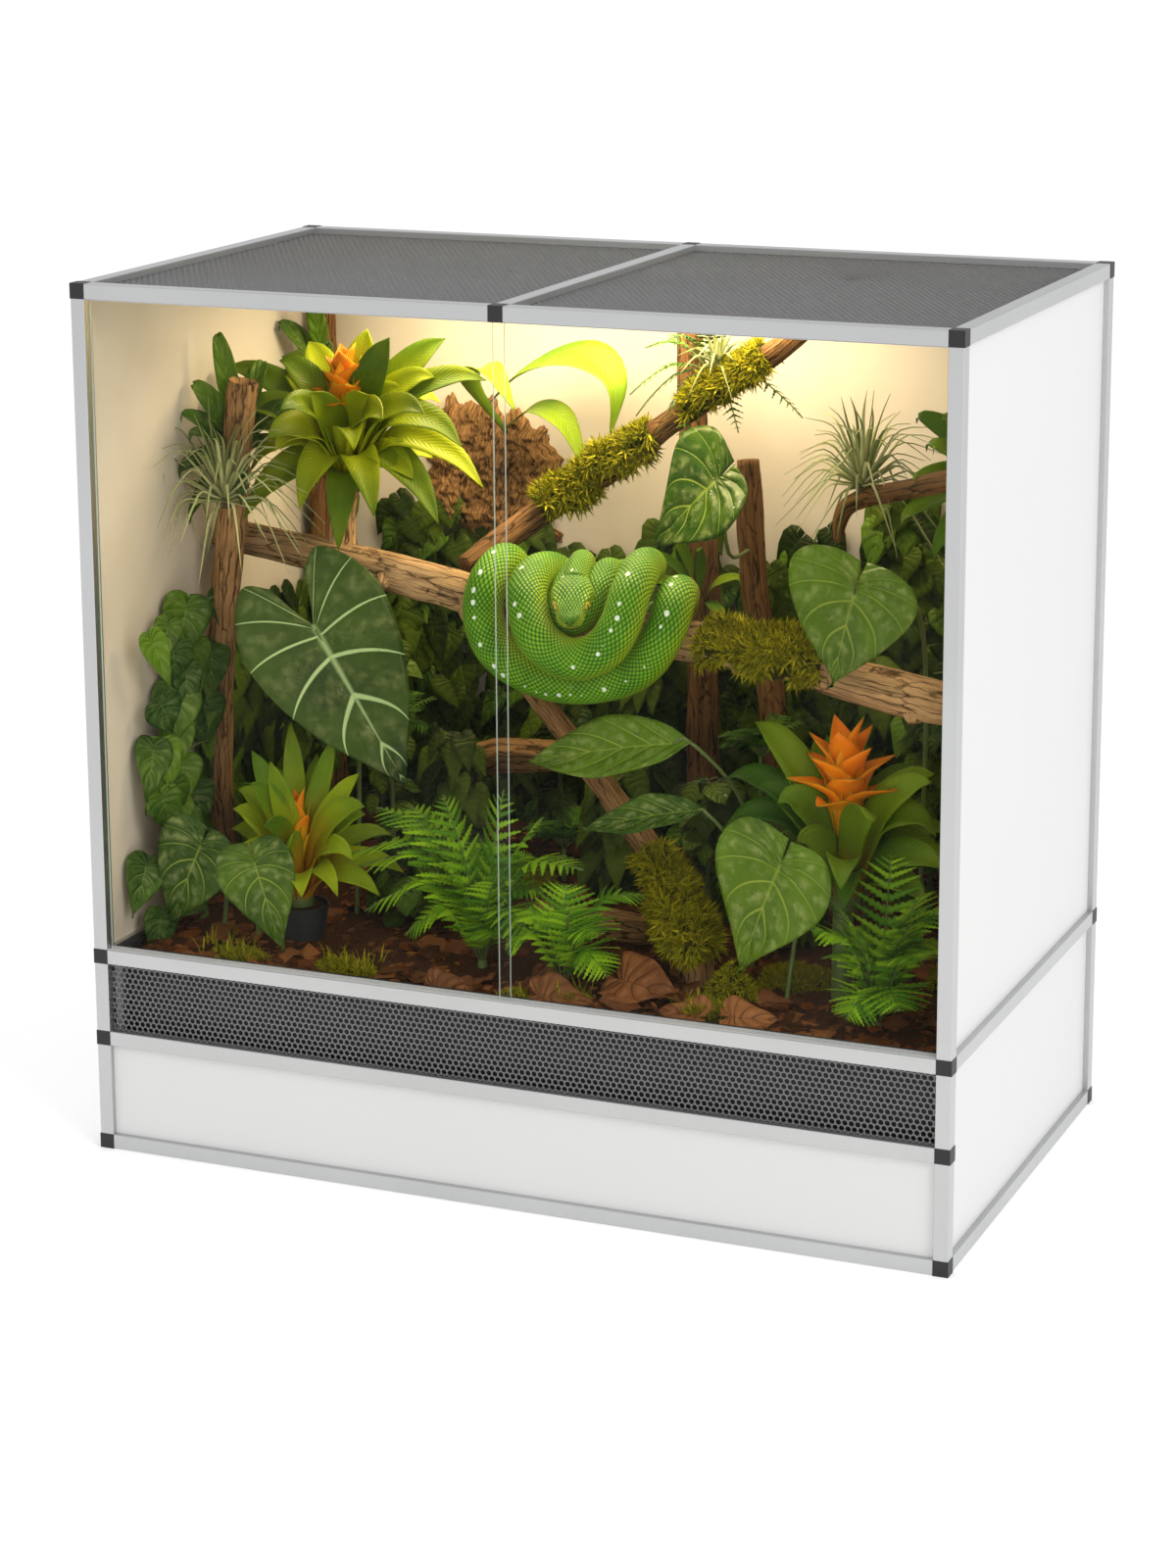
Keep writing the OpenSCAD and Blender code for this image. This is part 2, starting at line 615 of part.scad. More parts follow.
// The perch runs from side wall to side wall, so its ends lie on the walls.
perch_path = [
    [-wall_x, place([-580, 20, 786])[1], place([-580, 20, 786])[2]],
    for (p = [[-520, 10, 780], [-375, -20, 770], [-245, -40, 755], [-110, -60, 736], [20, -70, 722],
              [150, -80, 716], [290, -90, 705], [400, -100, 685], [505, -110, 672]]) place(p),
    [wall_x, place([580, -118, 664])[1], place([580, -118, 664])[2]]
];
perch_radii = [for (k = [0.85, 0.9, 1, 0.94, 1, 1, 0.96, 1.04, 1.1, 0.96, 0.9]) k * perch_r];
bromeliad_fork = place([-385, 20, 860]);

module perch_branch() {
    color("sienna") sawn_to_room() {
        limb(perch_path, perch_radii, 9);
        limb([perch_path[2], mix(perch_path[2], bromeliad_fork, 0.6) + [-8, 0, 0], bromeliad_fork],
             [perch_r * 0.7, perch_r * 0.62, perch_r * 0.55], 7);
    }
}

diagonal_top = place([318, 112, 1140]);
diagonal_path = [
    for (p = [[-196, -8, 770], [-130, 80, 832], [-48, 120, 890], [42, 128, 958], [130, 120, 1020],
              [216, 112, 1080]]) place(p),
    [diagonal_top[0], diagonal_top[1], mesh_z + branch_r]
];

diagonal_radii = [for (k = [0.95, 1, 1.04, 0.9, 0.86, 0.8, 0.66]) k * branch_r];

// Leans from a notch on the perch up to the roof mesh.
module diagonal_branch() {
    color("sienna") difference() {
        sawn_to_room() {
            limb(diagonal_path, diagonal_radii, 8);
            limb([diagonal_path[1], mix(diagonal_path[1], place([-175, 210, 850]), 0.5), place([-175, 210, 850])],
                 [branch_r * 0.6, branch_r * 0.5, branch_r * 0.35], 6);
        }
        limb(perch_path, perch_radii, 9);
    }
}

left_trunk_path = [
    on_soil(-547, -50, 40), on_soil(-547, -50, -20),
    for (p = [[-556, -50, 369], [-558, -50, 497], [-550, -50, 638], [-534, -50, 779], [-517, -50, 930],
              [-505, -50, 1014]]) place(p)
];

// A broken-off trunk with a hollow top.
module left_trunk() {
    top = left_trunk_path[len(left_trunk_path) - 1];
    color("tan") difference() {
        limb(left_trunk_path, [for (k = [1.15, 1.1, 0.95, 0.9, 0.95, 1, 1, 1.05]) k * trunk_r], 9);
        translate(top - [0, 0, trunk_r]) cylinder(r = trunk_r * 0.6, h = 2 * trunk_r, $fn = 12);
    }
}

corner_trunk_path = [
    on_soil(-540, 262, 40), on_soil(-540, 262, -20),
    for (p = [[-543, 265, 500], [-548, 272, 716], [-555, 285, 829], [-558, 290, 944], [-556, 294, 1080]]) place(p)
];

module corner_trunk()
    color("saddlebrown") union()
        limb(corner_trunk_path, [for (k = [1.2, 1.15, 1, 1, 1.1, 1.05, 0.9]) k * trunk_r], 8);

right_trunk_path = [
    on_soil(64, 215, 40), on_soil(64, 215, -20),
    for (p = [[60, 222, 491], [58, 230, 658], [52, 235, 769], [38, 240, 931], [32, 242, 1090]]) place(p)
];
short_trunk_path = [
    on_soil(196, 180, 40), on_soil(196, 180, -20),
    for (p = [[178, 190, 538], [155, 190, 675], [142, 192, 783], [134, 200, 905]]) place(p)
];

module right_trunks() {
    color("sienna") union() {
        limb(right_trunk_path, [for (k = [1.3, 1.2, 1.1, 1.1, 1.15, 1, 0.9]) k * trunk_r], 8);
        limb(short_trunk_path, [for (k = [1.1, 1.05, 0.95, 0.9, 0.9, 0.75]) k * trunk_r], 8);
    }
}

ground_path = [
    for (p = [[-168, 8, 712], [-114, 0, 622], [-48, -20, 560], [21, -50, 500], [83, -80, 446],
              [143, -110, 387]]) place(p),
    on_soil(186, -145, -45), on_soil(200, -155, 25)
];

ground_radii = [for (k = [0.7, 0.75, 0.8, 0.85, 0.95, 1, 1.35, 1.1]) k * branch_r];

module ground_branch()
    color("saddlebrown") union()
        limb(ground_path, ground_radii, 8);

module fallen_logs() {
    log_b_z = branch_r * 1.2;
    color("peru") union() {
        limb([on_soil(-330, 150, 20), place([-290, 168, 420]), place([-240, 178, 456]), place([-130, 172, 468]),
              place([-10, 180, 480])], [for (k = [1.1, 1.1, 1.2, 1.15, 1]) k * branch_r], 8);
    }
    color("peru") union() {
        limb([on_soil(-70, -62, -log_b_z), on_soil(10, -60, -log_b_z), on_soil(90, -58, -log_b_z)],
             [branch_r, branch_r * 1.2, branch_r * 1.05], 8);
    }
}

short_branch_path = [
    [wall_x, place([580, -165, 985])[1], place([580, -165, 985])[2]],
    for (p = [[500, -110, 953], [436, -60, 930], [364, 0, 903], [332, 18, 880], [322, 24, 840]]) place(p)
];

module short_branch()
    color("sienna") sawn_to_room()
        limb(short_branch_path, [for (k = [0.75, 0.7, 0.65, 0.65, 0.55, 0.35]) k * branch_r], 7);

// A curved slab of cork fixed to the back wall.
module cork_bark() {
    back = wall_y - wedge_gap;
    stations = [[-430, 742, 40], [-380, 735, 150], [-320, 730, 200], [-260, 726, 226], [-205, 735, 215], [-170, 750, 150]];
    color("peru") union()
        chain([for (i = [0 : len(stations) - 1])
            let (s = stations[i], low = place([s[0], 300, s[1]]), high = place([s[0], 300, s[1] + s[2]]),
                 bulge = 14 + 18 * sin(180 * (i + 0.5) / len(stations)))
            [[low[0], back, low[2]], [high[0], back, high[2]],
             [low[0], back - bulge, low[2] + 6], [high[0], back - bulge, high[2] - 6],
             [low[0], back - bulge - 8, (low[2] + high[2]) / 2]]]);
}

// ---- Moss and litter ---------------------------------------------------------------------------
// A pad of moss on the upper side of a stretch of a branch.
module moss_pad(path, radii, first, last, from, to, thick) {
    start = mix(path[first], path[first + 1], from);
    end = mix(path[last], path[last + 1], to);
    middle = [for (i = [first + 1 : last]) path[i]];
    points = concat([start], middle, [end]);
    widths = concat([radii[first] * 0.8], [for (i = [first + 1 : last]) radii[i] + thick], [radii[last] * 0.8]);
    limb([for (p = points) p + [0, -thick * 0.4, thick * 0.8]], widths, 8);
}

module branch_moss() {
    color("olive") difference() {
        union() {
            moss_pad(perch_path, perch_radii, 6, 7, 0.2, 0.55, moss_t);
            moss_pad(diagonal_path, diagonal_radii, 1, 2, 0.1, 0.8, moss_t);
            moss_pad(diagonal_path, diagonal_radii, 3, 4, 0.35, 0.7, moss_t * 0.8);
            moss_pad(ground_path, ground_radii, 4, 6, 0.4, 0.1, moss_t * 1.3);
        }
        perch_branch();
        diagonal_branch();
        ground_branch();
    }
}

// Cushions of moss, [x, y, half width, half depth, height], bedded in the soil.
cushions = [[246, -258, 34, 22, 26], [-262, -262, 40, 20, 18], [-10, -278, 26, 10, 14], [520, -60, 34, 40, 22],
            [-158, 82, 50, 38, 24]];
// Fallen leaves, [x, y, length, turn].
fallen_leaves = [[130, -268, 56, 20], [170, -226, 64, -35], [305, -262, 46, 10], [118, -190, 58, 75],
                 [-150, -262, 52, -20], [-470, -280, 44, 10], [250, -40, 66, 40], [-60, 60, 58, 120],
                 [380, 60, 64, 15], [90, 30, 60, -60]];

// A dry leaf, curled up a little from the soil.
module fallen_leaf(x, y, length, turn) {
    function at(a, b, h) = on_soil(x + length * (a * cos(turn) - b * sin(turn)),
                                   y + length * (a * sin(turn) + b * cos(turn)), -h);
    span([at(-0.5, 0, 5), at(0, 0.22, 6), at(0.1, -0.22, 6), at(0.5, 0, 4), at(0, 0, 0.3), at(-0.2, 0, 0.5)]);
}

module ground_cover() {
    for (c = cushions)
        color("olive") hull()
            for (k = [[0, 0, 1], [0.55, 0.2, 0.75], [-0.6, -0.2, 0.7]])
                translate(on_soil(c[0] + k[0] * c[2], c[1] + k[1] * c[3], 3))
                    scale([c[2] * k[2] * 0.6, c[3] * k[2] * 0.7, c[4] * k[2]]) sphere(1, $fn = 8);
    for (f = fallen_leaves) color("peru") fallen_leaf(f[0], f[1], f[2], f[3]);
}

// ---- Plants -----------------------------------------------------------------------------------
// A rosette of strap leaves. A leaf is [tip from the base, rise of its crest].
module rosette(base, leaves, width, neck) {
    limb([base - [0, 0, neck], base, base + [0, 0, neck]], [width * 0.5, width * 0.6, width * 0.45], 8);
    for (leaf = leaves)
        strap_leaf(base, base + leaf[0] * 0.5 + [0, 0, leaf[1]], base + leaf[0], width);
}

upper_leaves = [
    [[18, 20, 205], 30], [[112, 40, 195], 40], [[178, 10, 140], 70], [[165, -40, 60], 90],
    [[185, -20, 0], 90], [[70, -90, -30], 80], [[30, -95, -80], 70], [[-102, -50, 10], 80],
    [[-165, 10, 140], 60], [[-95, -75, -50], 70], [[-10, -70, 130], 30], [[60, -10, 200], 30],
    [[-60, 40, 180], 40], [[90, 70, 100], 70], [[-90, 60, 60], 80], [[20, 80, 60], 90]
];

module upper_bromeliad()
    color("olivedrab") union() rosette(bromeliad_fork + [0, 0, 16], upper_leaves, strap_w, 18);

module pot()
    color("dimgray") translate(pot_base) rotate_extrude()
        polygon([[0, 0], [pot_taper * pot_d / 2, 0], [pot_d / 2, pot_h], [pot_d / 2 - pot_wall, pot_h],
                 [pot_taper * pot_d / 2 - pot_wall, pot_wall], [0, pot_wall]]);

left_leaves = [
    [[-30, 40, 235], 20], [[-80, 20, 195], 30], [[42, 30, 225], 20], [[92, 0, 185], 30],
    [[110, -20, 135], 45], [[105, -50, 80], 60], [[88, -62, 30], 60], [[-84, -30, 125], 45],
    [[-66, -66, 60], 60], [[20, -80, 90], 60], [[0, 60, 190], 20], [[-40, 70, 120], 40],
    [[50, 70, 110], 40], [[-20, -40, 200], 20]
];

module left_bromeliad() {
    ball_top = pot_base + [0, 0, pot_h - 6];
    color("olivedrab") union() {
        limb([pot_base + [0, 0, pot_wall + 0.3], ball_top],
             [pot_taper * pot_d / 2 - pot_wall - 2.5, pot_d / 2 - pot_wall - 4], 9);
        rosette(ball_top + [0, 0, 10], left_leaves, strap_w * 0.85, 12);
    }
}

// The heart of this rosette stands on a short stem.
right_stem = 130;
right_leaves = [
    [[-133, 30, 210], 60], [[-172, 20, 132], 80], [[-160, -20, 75], 90], [[115, 10, 170], 60],
    [[125, -10, 95], 90], [[0, 30, 245], 20], [[-25, 0, 250], 10], [[25, 10, 240], 10],
    [[0, -30, 200], 20], [[60, -60, 120], 70], [[-70, -60, 130], 70], [[-60, 60, 190], 40],
    [[70, 70, 160], 50], [[140, 40, 20], 90], [[-110, 60, 70], 90]
];

module right_bromeliad() {
    root = on_soil(395, -150, 12);
    heart = on_soil(395, -150, -right_stem);
    color("olivedrab") union() {
        limb([root, heart], [14, 12], 8);
        rosette(heart, right_leaves, strap_w * 1.1, 22);
    }
}

// Broad leaves: [stalk point, tip, way the blade faces, width, root, bend of the stalk].
broad_leaves = [
    [[-372, -120, 700], [-232, -130, 494], [0.2, -0.8, 0.55], 215, [-335, -80], [-340, -60, 560]],
    [[409, -150, 826], [374, -165, 692], [-0.1, -0.85, 0.5], 190, [452, -10], [440, 24, 730]],
    [[341, -236, 478], [279, -242, 325], [0, -0.85, 0.5], 172, [330, -190], [345, -180, 420]],
    [[-484, -244, 414], [-540, -250, 290], [0.25, -0.8, 0.5], 116, [-480, -200], [-470, -205, 350]],
    [[-398, -256, 404], [-358, -262, 282], [0.05, -0.85, 0.5], 108, [-430, -190], [-425, -200, 340]]
];
lance_leaves = [
    [[168, -128, 590], [-52, -132, 552], [0, -0.7, 0.7], 78, [238, -60], [235, -70, 480]],
    [[218, -186, 520], [44, -192, 492], [0, -0.6, 0.8], 60, [254, -100], [254, -130, 430]]
];

// Leafy plants in the shade behind: [x, y, height, reach of the leaves].
bushes = [[-492, 90, 330, 70], [-430, 205, 300, 66], [-238, 40, 220, 58], [-170, 252, 330, 62], [-20, 90, 175, 64],
          [130, 60, 190, 64], [308, 215, 320, 70], [420, 140, 330, 66], [515, 80, 250, 48], [525, 242, 400, 46],
          [270, 25, 170, 60], [-265, -60, 125, 56], [-40, 272, 380, 50]];
leaves_per_bush = 7;
// Share of its reach at which a leaf is widest, and how wide it is there.
bush_leaf_shape = [0.55, 0.3];

// A leaf from a stem to its tip, as one convex solid.
module bush_leaf(stem_point, out, reach) {
    side = unit(cross(out, [0, 0, 1])) * bush_leaf_shape[1] * reach;
    middle = stem_point + out * bush_leaf_shape[0] * reach + [0, 0, 0.16 * reach];
    span([stem_point, stem_point - [0, 0, 2 * leaf_t], middle + side, middle - side, middle - [0, 0, leaf_t],
          stem_point + out * reach - [0, 0, 0.12 * reach]]);
}

module bush(plant, index) {
    root = on_soil(plant[0], plant[1], 15);
    top = on_soil(plant[0], plant[1], -plant[2]);
    limb([root, top], [stalk_d * 0.6, stalk_d * 0.35], 5);
    for (k = [0 : leaves_per_bush - 1]) {
        turn = 137.5 * k + 40 * index;
        bush_leaf(mix(root, top, 0.3 + 0.68 * k / (leaves_per_bush - 1)), [cos(turn), 0.7 * sin(turn), 0], plant[3]);
    }
}

module broad_leaf_plants() {
    for (i = [0 : len(bushes) - 1]) color("darkgreen") union() bush(bushes[i], i);
    color("forestgreen") union() {
        for (b = broad_leaves) {
            heart_leaf(place(b[0]), place(b[1]), b[2], b[3]);
            stalk(on_soil(b[4][0], b[4][1], 15), place(b[5]), place(b[0]), place(b[1]), b[2]);
        }
        for (b = lance_leaves) {
            lance_leaf(place(b[0]), place(b[1]), b[2], b[3]);
            stalk(on_soil(b[4][0], b[4][1], 15), place(b[5]), place(b[0]), place(b[1]), b[2]);
        }
    }
}

// Climbing plants: a stem, and leaves of [stalk point, tip, facing, width].
left_vine_stem = [
    on_soil(-560, -150, 10), place([-564, -150, 380]), place([-566, -160, 480]), place([-566, -140, 590]),
    place([-566, -120, 700])
];
left_vine_leaves = [
    [[-560, -130, 712], [-558, -165, 630], [0.7, -0.6, 0.3], 70],
    [[-560, -165, 598], [-556, -200, 520], [0.7, -0.6, 0.3], 72],
    [[-560, -140, 560], [-548, -80, 510], [0.7, -0.6, 0.3], 56],
    [[-558, -215, 520], [-560, -250, 450], [0.7, -0.6, 0.3], 56],
    [[-556, -160, 500], [-544, -178, 440], [0.7, -0.6, 0.3], 54]
];
right_vine_stem = [
    on_soil(560, -20, 10), place([566, -20, 420]), place([566, -16, 640]), place([566, -20, 860]),
    place([564, -40, 1020])
];
right_vine_leaves = [
    [[556, -50, 1010], [510, -90, 965], [-0.6, -0.6, 0.5], 60],
    [[552, -50, 830], [508, -88, 760], [-0.6, -0.7, 0.3], 66],
    [[548, -66, 640], [520, -124, 570], [-0.6, -0.7, 0.3], 56]
];

module vine(stem, leaves) {
    limb(stem, [stalk_d * 0.6, stalk_d * 0.5], 5);
    for (v = leaves) {
        from = place(v[0]);
        below = [for (i = [0 : len(stem) - 2]) if (stem[i][2] < from[2]) mix(stem[i], stem[i + 1], 0.3)];
        joint = below[len(below) - 1];
        heart_leaf(from, place(v[1]), v[2], v[3]);
        stalk(joint, mix(joint, from, 0.5), from, place(v[1]), v[2], stalk_d * 0.7, 1);
    }
}

// The broad leaf on the short trunk, and the arching leaves on the cork.
trunk_leaf = [[146, 60, 906], [36, 62, 804], [-0.1, -0.8, 0.6], 168];
cork_leaves = [[[-248, 296, 938], [-110, 190, 1120], [-44, 162, 940], 40],
               [[-205, 296, 930], [-150, 200, 1060], [-95, 186, 884], 34]];

module climbing_plants() {
    color("yellowgreen") union() vine(left_vine_stem, left_vine_leaves);
    color("yellowgreen") union() vine(right_vine_stem, right_vine_leaves);
    color("forestgreen") union() {
        heart_leaf(place(trunk_leaf[0]), place(trunk_leaf[1]), trunk_leaf[2], trunk_leaf[3]);
        stalk(short_trunk_path[3], place([150, 80, 800]), place(trunk_leaf[0]), place(trunk_leaf[1]),
              trunk_leaf[2]);
    }
    color("yellowgreen") union()
        for (c = cork_leaves) strap_leaf(place(c[0]), place(c[1]), place(c[2]), c[3], 6);
}

// A frond: an arching blade with a saw edge of leaflets that shorten to the tip.
module frond(base, crest, tip, width, pairs = 6) {
    steps = 2 * pairs;
    chain([for (i = [0 : steps])
        let (t = i / steps, p = bend(base, crest, tip, t), q = bend(base, crest, tip, t + 0.02),
             d = unit(q - p), s = side_of(d), n = cross(s, d),
             full = width / 2 * sin(180 * min(1, 0.12 + 0.88 * t)),
             w = (i % 2 == 1 ? full : full * 0.3) + 1.2)
        [p - s * w - n * w * 0.15, p + s * w - n * w * 0.15, p + n * leaf_t]]);
}

// Ferns: [x, y, fronds], with each frond's tip measured from the crown.
fern_crowns = [
    [-95, -190, [[-175, -10, 120], [-120, 30, 200], [20, 30, 235], [150, -10, 150], [-90, -50, 45],
                 [95, -45, 60], [-20, 60, 150], [-60, 10, 225], [80, 20, 205], [-150, 40, 60]]],
    [470, -225, [[-80, -36, 130], [-30, -46, 20], [60, -20, 190], [70, -40, 110], [0, 40, 220], [40, -46, 40]]],
    [40, -232, [[-70, -30, 60], [60, -25, 90], [0, 10, 140], [70, -20, 30]]]
];

// Ferns on tall stems behind: [x, y, height of the crown, reach, fronds].
tall_ferns = [[-352, 75, 200, 68, 7], [-105, 110, 50, 60, 6], [205, 60, 230, 60, 6], [350, 75, 120, 66, 7],
              [-190, -40, 50, 60, 6], [-490, -40, 130, 46, 6]];

module tall_fern(plant) {
    root = on_soil(plant[0], plant[1], 12);
    crown = on_soil(plant[0], plant[1], -plant[2]);
    limb([root, crown + [0, 0, 5]], [stalk_d * 0.6, stalk_d * 0.45], 5);
    for (k = [0 : plant[4] - 1]) {
        turn = 137.5 * k;
        lift = 0.3 * (k % 3);
        bush_leaf(crown, [cos(turn), 0.7 * sin(turn), 0.25 + lift], plant[3]);
    }
}

module ferns() {
    for (f = tall_ferns) color("green") union() tall_fern(f);
    for (f = fern_crowns) {
        crown = on_soil(f[0], f[1], -4);
        color("green") union() {
            limb([crown - [0, 0, 14], crown + [0, 0, 6]], [9, 6], 6);
            for (t = f[2])
                frond(crown, crown + t * 0.45 + [0, 0, norm([t[0], t[1]]) * 0.45 + 20], crown + t, fern_w);
        }
    }
}

// Air plants: many narrow leaves that spread in all directions.
module air_plant(base, size, leaves, squash) {
    limb([base - [0, 0, 7], base + [0, 0, 7]], [8, 6], 6);
    for (i = [0 : leaves - 1]) {
        turn = 137.5 * i;
        lift = 70 - 95 * i / leaves;
        tip = size * (0.75 + 0.25 * sin(i * 77)) * [cos(turn) * cos(lift), squash * sin(turn) * cos(lift), sin(lift)];
        strap_leaf(base, base + tip * 0.5 + [0, 0, size * 0.22], base + tip, 11, 4);
    }
}

air_plant_seats = [
    [mix(left_trunk_path[5], left_trunk_path[6], 0.45) + [12, -trunk_r - 7, 0], 108, 14, 0.85],
    [short_branch_path[3] + [0, 0, branch_r * 0.65 + 7], 125, 15, 0.8],
    [diagonal_path[4] + [-12, 0, branch_r * 0.8 + 7], 62, 9, 0.9]
];

module air_plants()
    for (a = air_plant_seats)
        color("darkseagreen") union() air_plant(a[0], a[1], a[2], a[3]);

// ---- Snake --------------------------------------------------------------------------------------
snake_r = snake_d / 2;
// The loops are laid out for a perch and a snake that are this far apart.
loops_reach = 50;

// The perch's middle line over the stretch that the snake lies on.
function perch_at(x) =
    let (i = x < perch_path[4][0] ? 3 : x < perch_path[5][0] ? 4 : 5, a = perch_path[i], b = perch_path[i + 1])
    mix(a, b, (x - a[0]) / (b[0] - a[0]));

function by_perch(x, y, z) =
    perch_at(x) + [0, y, z] + unit([0, y, z]) * (perch_r + snake_r - loops_reach);

// The body from tail to neck, as it hangs over the perch in loops: [x, then how
// far in front and above the perch's middle line, then a share of the radius].
snake_body = [
    [-20, 61, -36, 0.26], [-66, 65, -37, 0.52], [-104, 60, -23, 0.78], [-117, 51, 13, 0.91],
    [-118, 29, 45, 0.98], [-117, -5, 56, 1.00], [-120, -49, 35, 1.00], [-118, -65, -7, 1.02],
    [-96, -66, -44, 1.04], [-52, -64, -65, 1.04], [8, -60, -67, 1.04], [71, -55, -52, 1.04],
    [114, -52, -24, 1.04], [141, -47, 22, 1.02], [142, -15, 54, 1.00], [130, 30, 49, 1.00],
    [100, 70, 10, 1.00], [30, 65, -14, 1.00], [-24, 59, 8, 1.00], [-50, 33, 46, 1.00],
    [-54, -11, 59, 1.00], [-51, -59, 54, 1.00], [-41, -92, 35, 1.02], [-18, -113, 3, 1.04],
    [14, -114, -16, 1.04], [46, -112, -17, 1.04], [78, -108, 1, 1.04], [97, -97, 34, 1.02],
    [100, -70, 70, 1.00], [94, -18, 87, 0.98], [88, 21, 85, 0.91], [67, 57, 67, 0.85],
    [39, 34, 65, 0.80], [38, -1, 73, 0.85], [41, -30, 60, 0.87], [40, -55, 40, 0.85],
    [21, -82, 22, 0.83], [-5, -64, 32, 0.78], [-9, -36, 47, 0.83], [-9, -16, 58, 0.83]
];
snake_neck = [[-5, -2, 69, 0.76], [4, -21, 84, 0.74], [12, -43, 82, 0.70], [16, -58, 75, 0.70]];
// Sections of the head from the neck to the snout: [x, y, z, half width, half height].
snake_head = [
    [15, -49, 75, 0.74, 0.61], [18, -65, 69, 0.98, 0.76], [21, -80, 64, 1.1, 0.8], [26, -93, 58, 1.08, 0.76],
    [31, -106, 51, 0.94, 0.65], [35, -118, 44, 0.8, 0.54], [38, -128, 38, 0.66, 0.46], [40, -134, 35, 0.4, 0.3]
];
snake_eyes = [[4, -101, 61], [50, -96, 61]];

module snake_part(loops)
    limb([for (b = loops) by_perch(b[0], b[1], b[2])], [for (b = loops) b[3] * snake_r], 10);

module tree_snake() {
    head_axis = [for (h = snake_head) by_perch(h[0], h[1], h[2])];
    color("limegreen") union() {
        snake_part(snake_body);
        snake_part(snake_neck);
        span([
            for (i = [0 : len(snake_head) - 1])
                let (d = heading(head_axis, i), side = side_of(d), up = cross(side, d))
                for (a = [0 : 36 : 324])
                    head_axis[i] + snake_r * (side * cos(a) * snake_head[i][3] + up * sin(a) * snake_head[i][4])
        ]);
        for (e = snake_eyes) translate(by_perch(e[0], e[1], e[2])) sphere(snake_r / 5, $fn = 8);
    }
}

front_top_rails();
back_top_rails();
left_top_rail();
right_top_rail();
top_cross_rail();
front_sill_rail();
front_vent_rail();
front_bottom_rail();
back_mid_rail();
back_bottom_rail();
left_mid_rail();
right_mid_rail();
left_bottom_rail();
right_bottom_rail();
front_left_posts();
front_right_posts();
back_left_posts();
back_right_posts();
top_corner_connectors();
bottom_corner_connectors();
mid_connectors();
vent_connectors();
top_tee_connectors();
left_upper_panel();
left_lower_panel();
right_upper_panel();
right_lower_panel();
back_upper_panel();
back_lower_panel();
front_base_panel();
floor_panel();
top_mesh_left();
top_mesh_right();
front_vent_mesh();
upper_door_track();
lower_door_track();
left_glass_door();
right_glass_door();
soil_tub();
soil();
perch_branch();
diagonal_branch();
left_trunk();
corner_trunk();
right_trunks();
ground_branch();
fallen_logs();
short_branch();
cork_bark();
branch_moss();
ground_cover();
upper_bromeliad();
pot();
left_bromeliad();
right_bromeliad();
broad_leaf_plants();
climbing_plants();
ferns();
air_plants();
tree_snake();
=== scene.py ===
# Front-opening reptile terrarium with its planting and a coiled tree snake.
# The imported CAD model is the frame: every piece here rides on one of its bodies.
# Places and sizes are in millimetres, as in the part's source, until a mesh is made.
import math
import random
from math import cos, sin, tau

import bmesh
import bpy
import numpy as np
from bmesh import ops
from bmesh.types import BMEdge, BMFace, BMVert
from mathutils import Matrix, Vector, noise


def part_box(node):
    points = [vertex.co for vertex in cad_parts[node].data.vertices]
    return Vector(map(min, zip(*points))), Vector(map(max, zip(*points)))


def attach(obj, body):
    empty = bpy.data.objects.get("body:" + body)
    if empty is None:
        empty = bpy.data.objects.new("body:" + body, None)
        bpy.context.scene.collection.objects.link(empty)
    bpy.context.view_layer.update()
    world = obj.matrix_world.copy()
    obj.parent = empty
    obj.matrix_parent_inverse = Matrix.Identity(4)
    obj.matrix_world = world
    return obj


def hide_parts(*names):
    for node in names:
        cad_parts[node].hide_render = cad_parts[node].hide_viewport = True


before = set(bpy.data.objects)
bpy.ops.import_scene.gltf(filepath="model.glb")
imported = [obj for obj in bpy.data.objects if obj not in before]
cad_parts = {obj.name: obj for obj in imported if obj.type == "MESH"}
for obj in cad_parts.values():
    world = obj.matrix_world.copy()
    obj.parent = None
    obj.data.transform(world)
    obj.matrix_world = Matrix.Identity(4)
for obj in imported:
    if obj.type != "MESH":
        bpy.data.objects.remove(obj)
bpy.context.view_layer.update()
MM = 0.001
UP = Vector((0, 0, 1))


def vec(*numbers):
    return Vector(numbers)


# ---- Camera, lights and floor --------------------------------------------------------
def show(name, data):
    made = bpy.data.objects.new(name, data)
    bpy.context.collection.objects.link(made)
    return made


def build_camera():
    data = bpy.data.cameras.new("camera")
    data.lens = 83.9
    data.sensor_width = 36
    data.shift_y = -0.1
    data.clip_end = 200
    data.dof.use_dof = False
    camera = show("camera", data)
    camera.location = (1.824, -4.404, 1.799)
    camera.rotation_euler = [math.radians(a) for a in (77.049, 0.274, 22.662)]
    bpy.context.scene.camera = camera


def area_light(name, place, target, size, power, colour=(1, 1, 1)):
    data = bpy.data.lights.new(name, "AREA")
    data.shape = "RECTANGLE"
    data.size, data.size_y = size
    data.energy = power
    data.color = colour
    lamp = show(name, data)
    lamp.location = place
    lamp.rotation_euler = (vec(*target) - vec(*place)).to_track_quat("-Z", "Y").to_euler()
    lamp.visible_camera = False


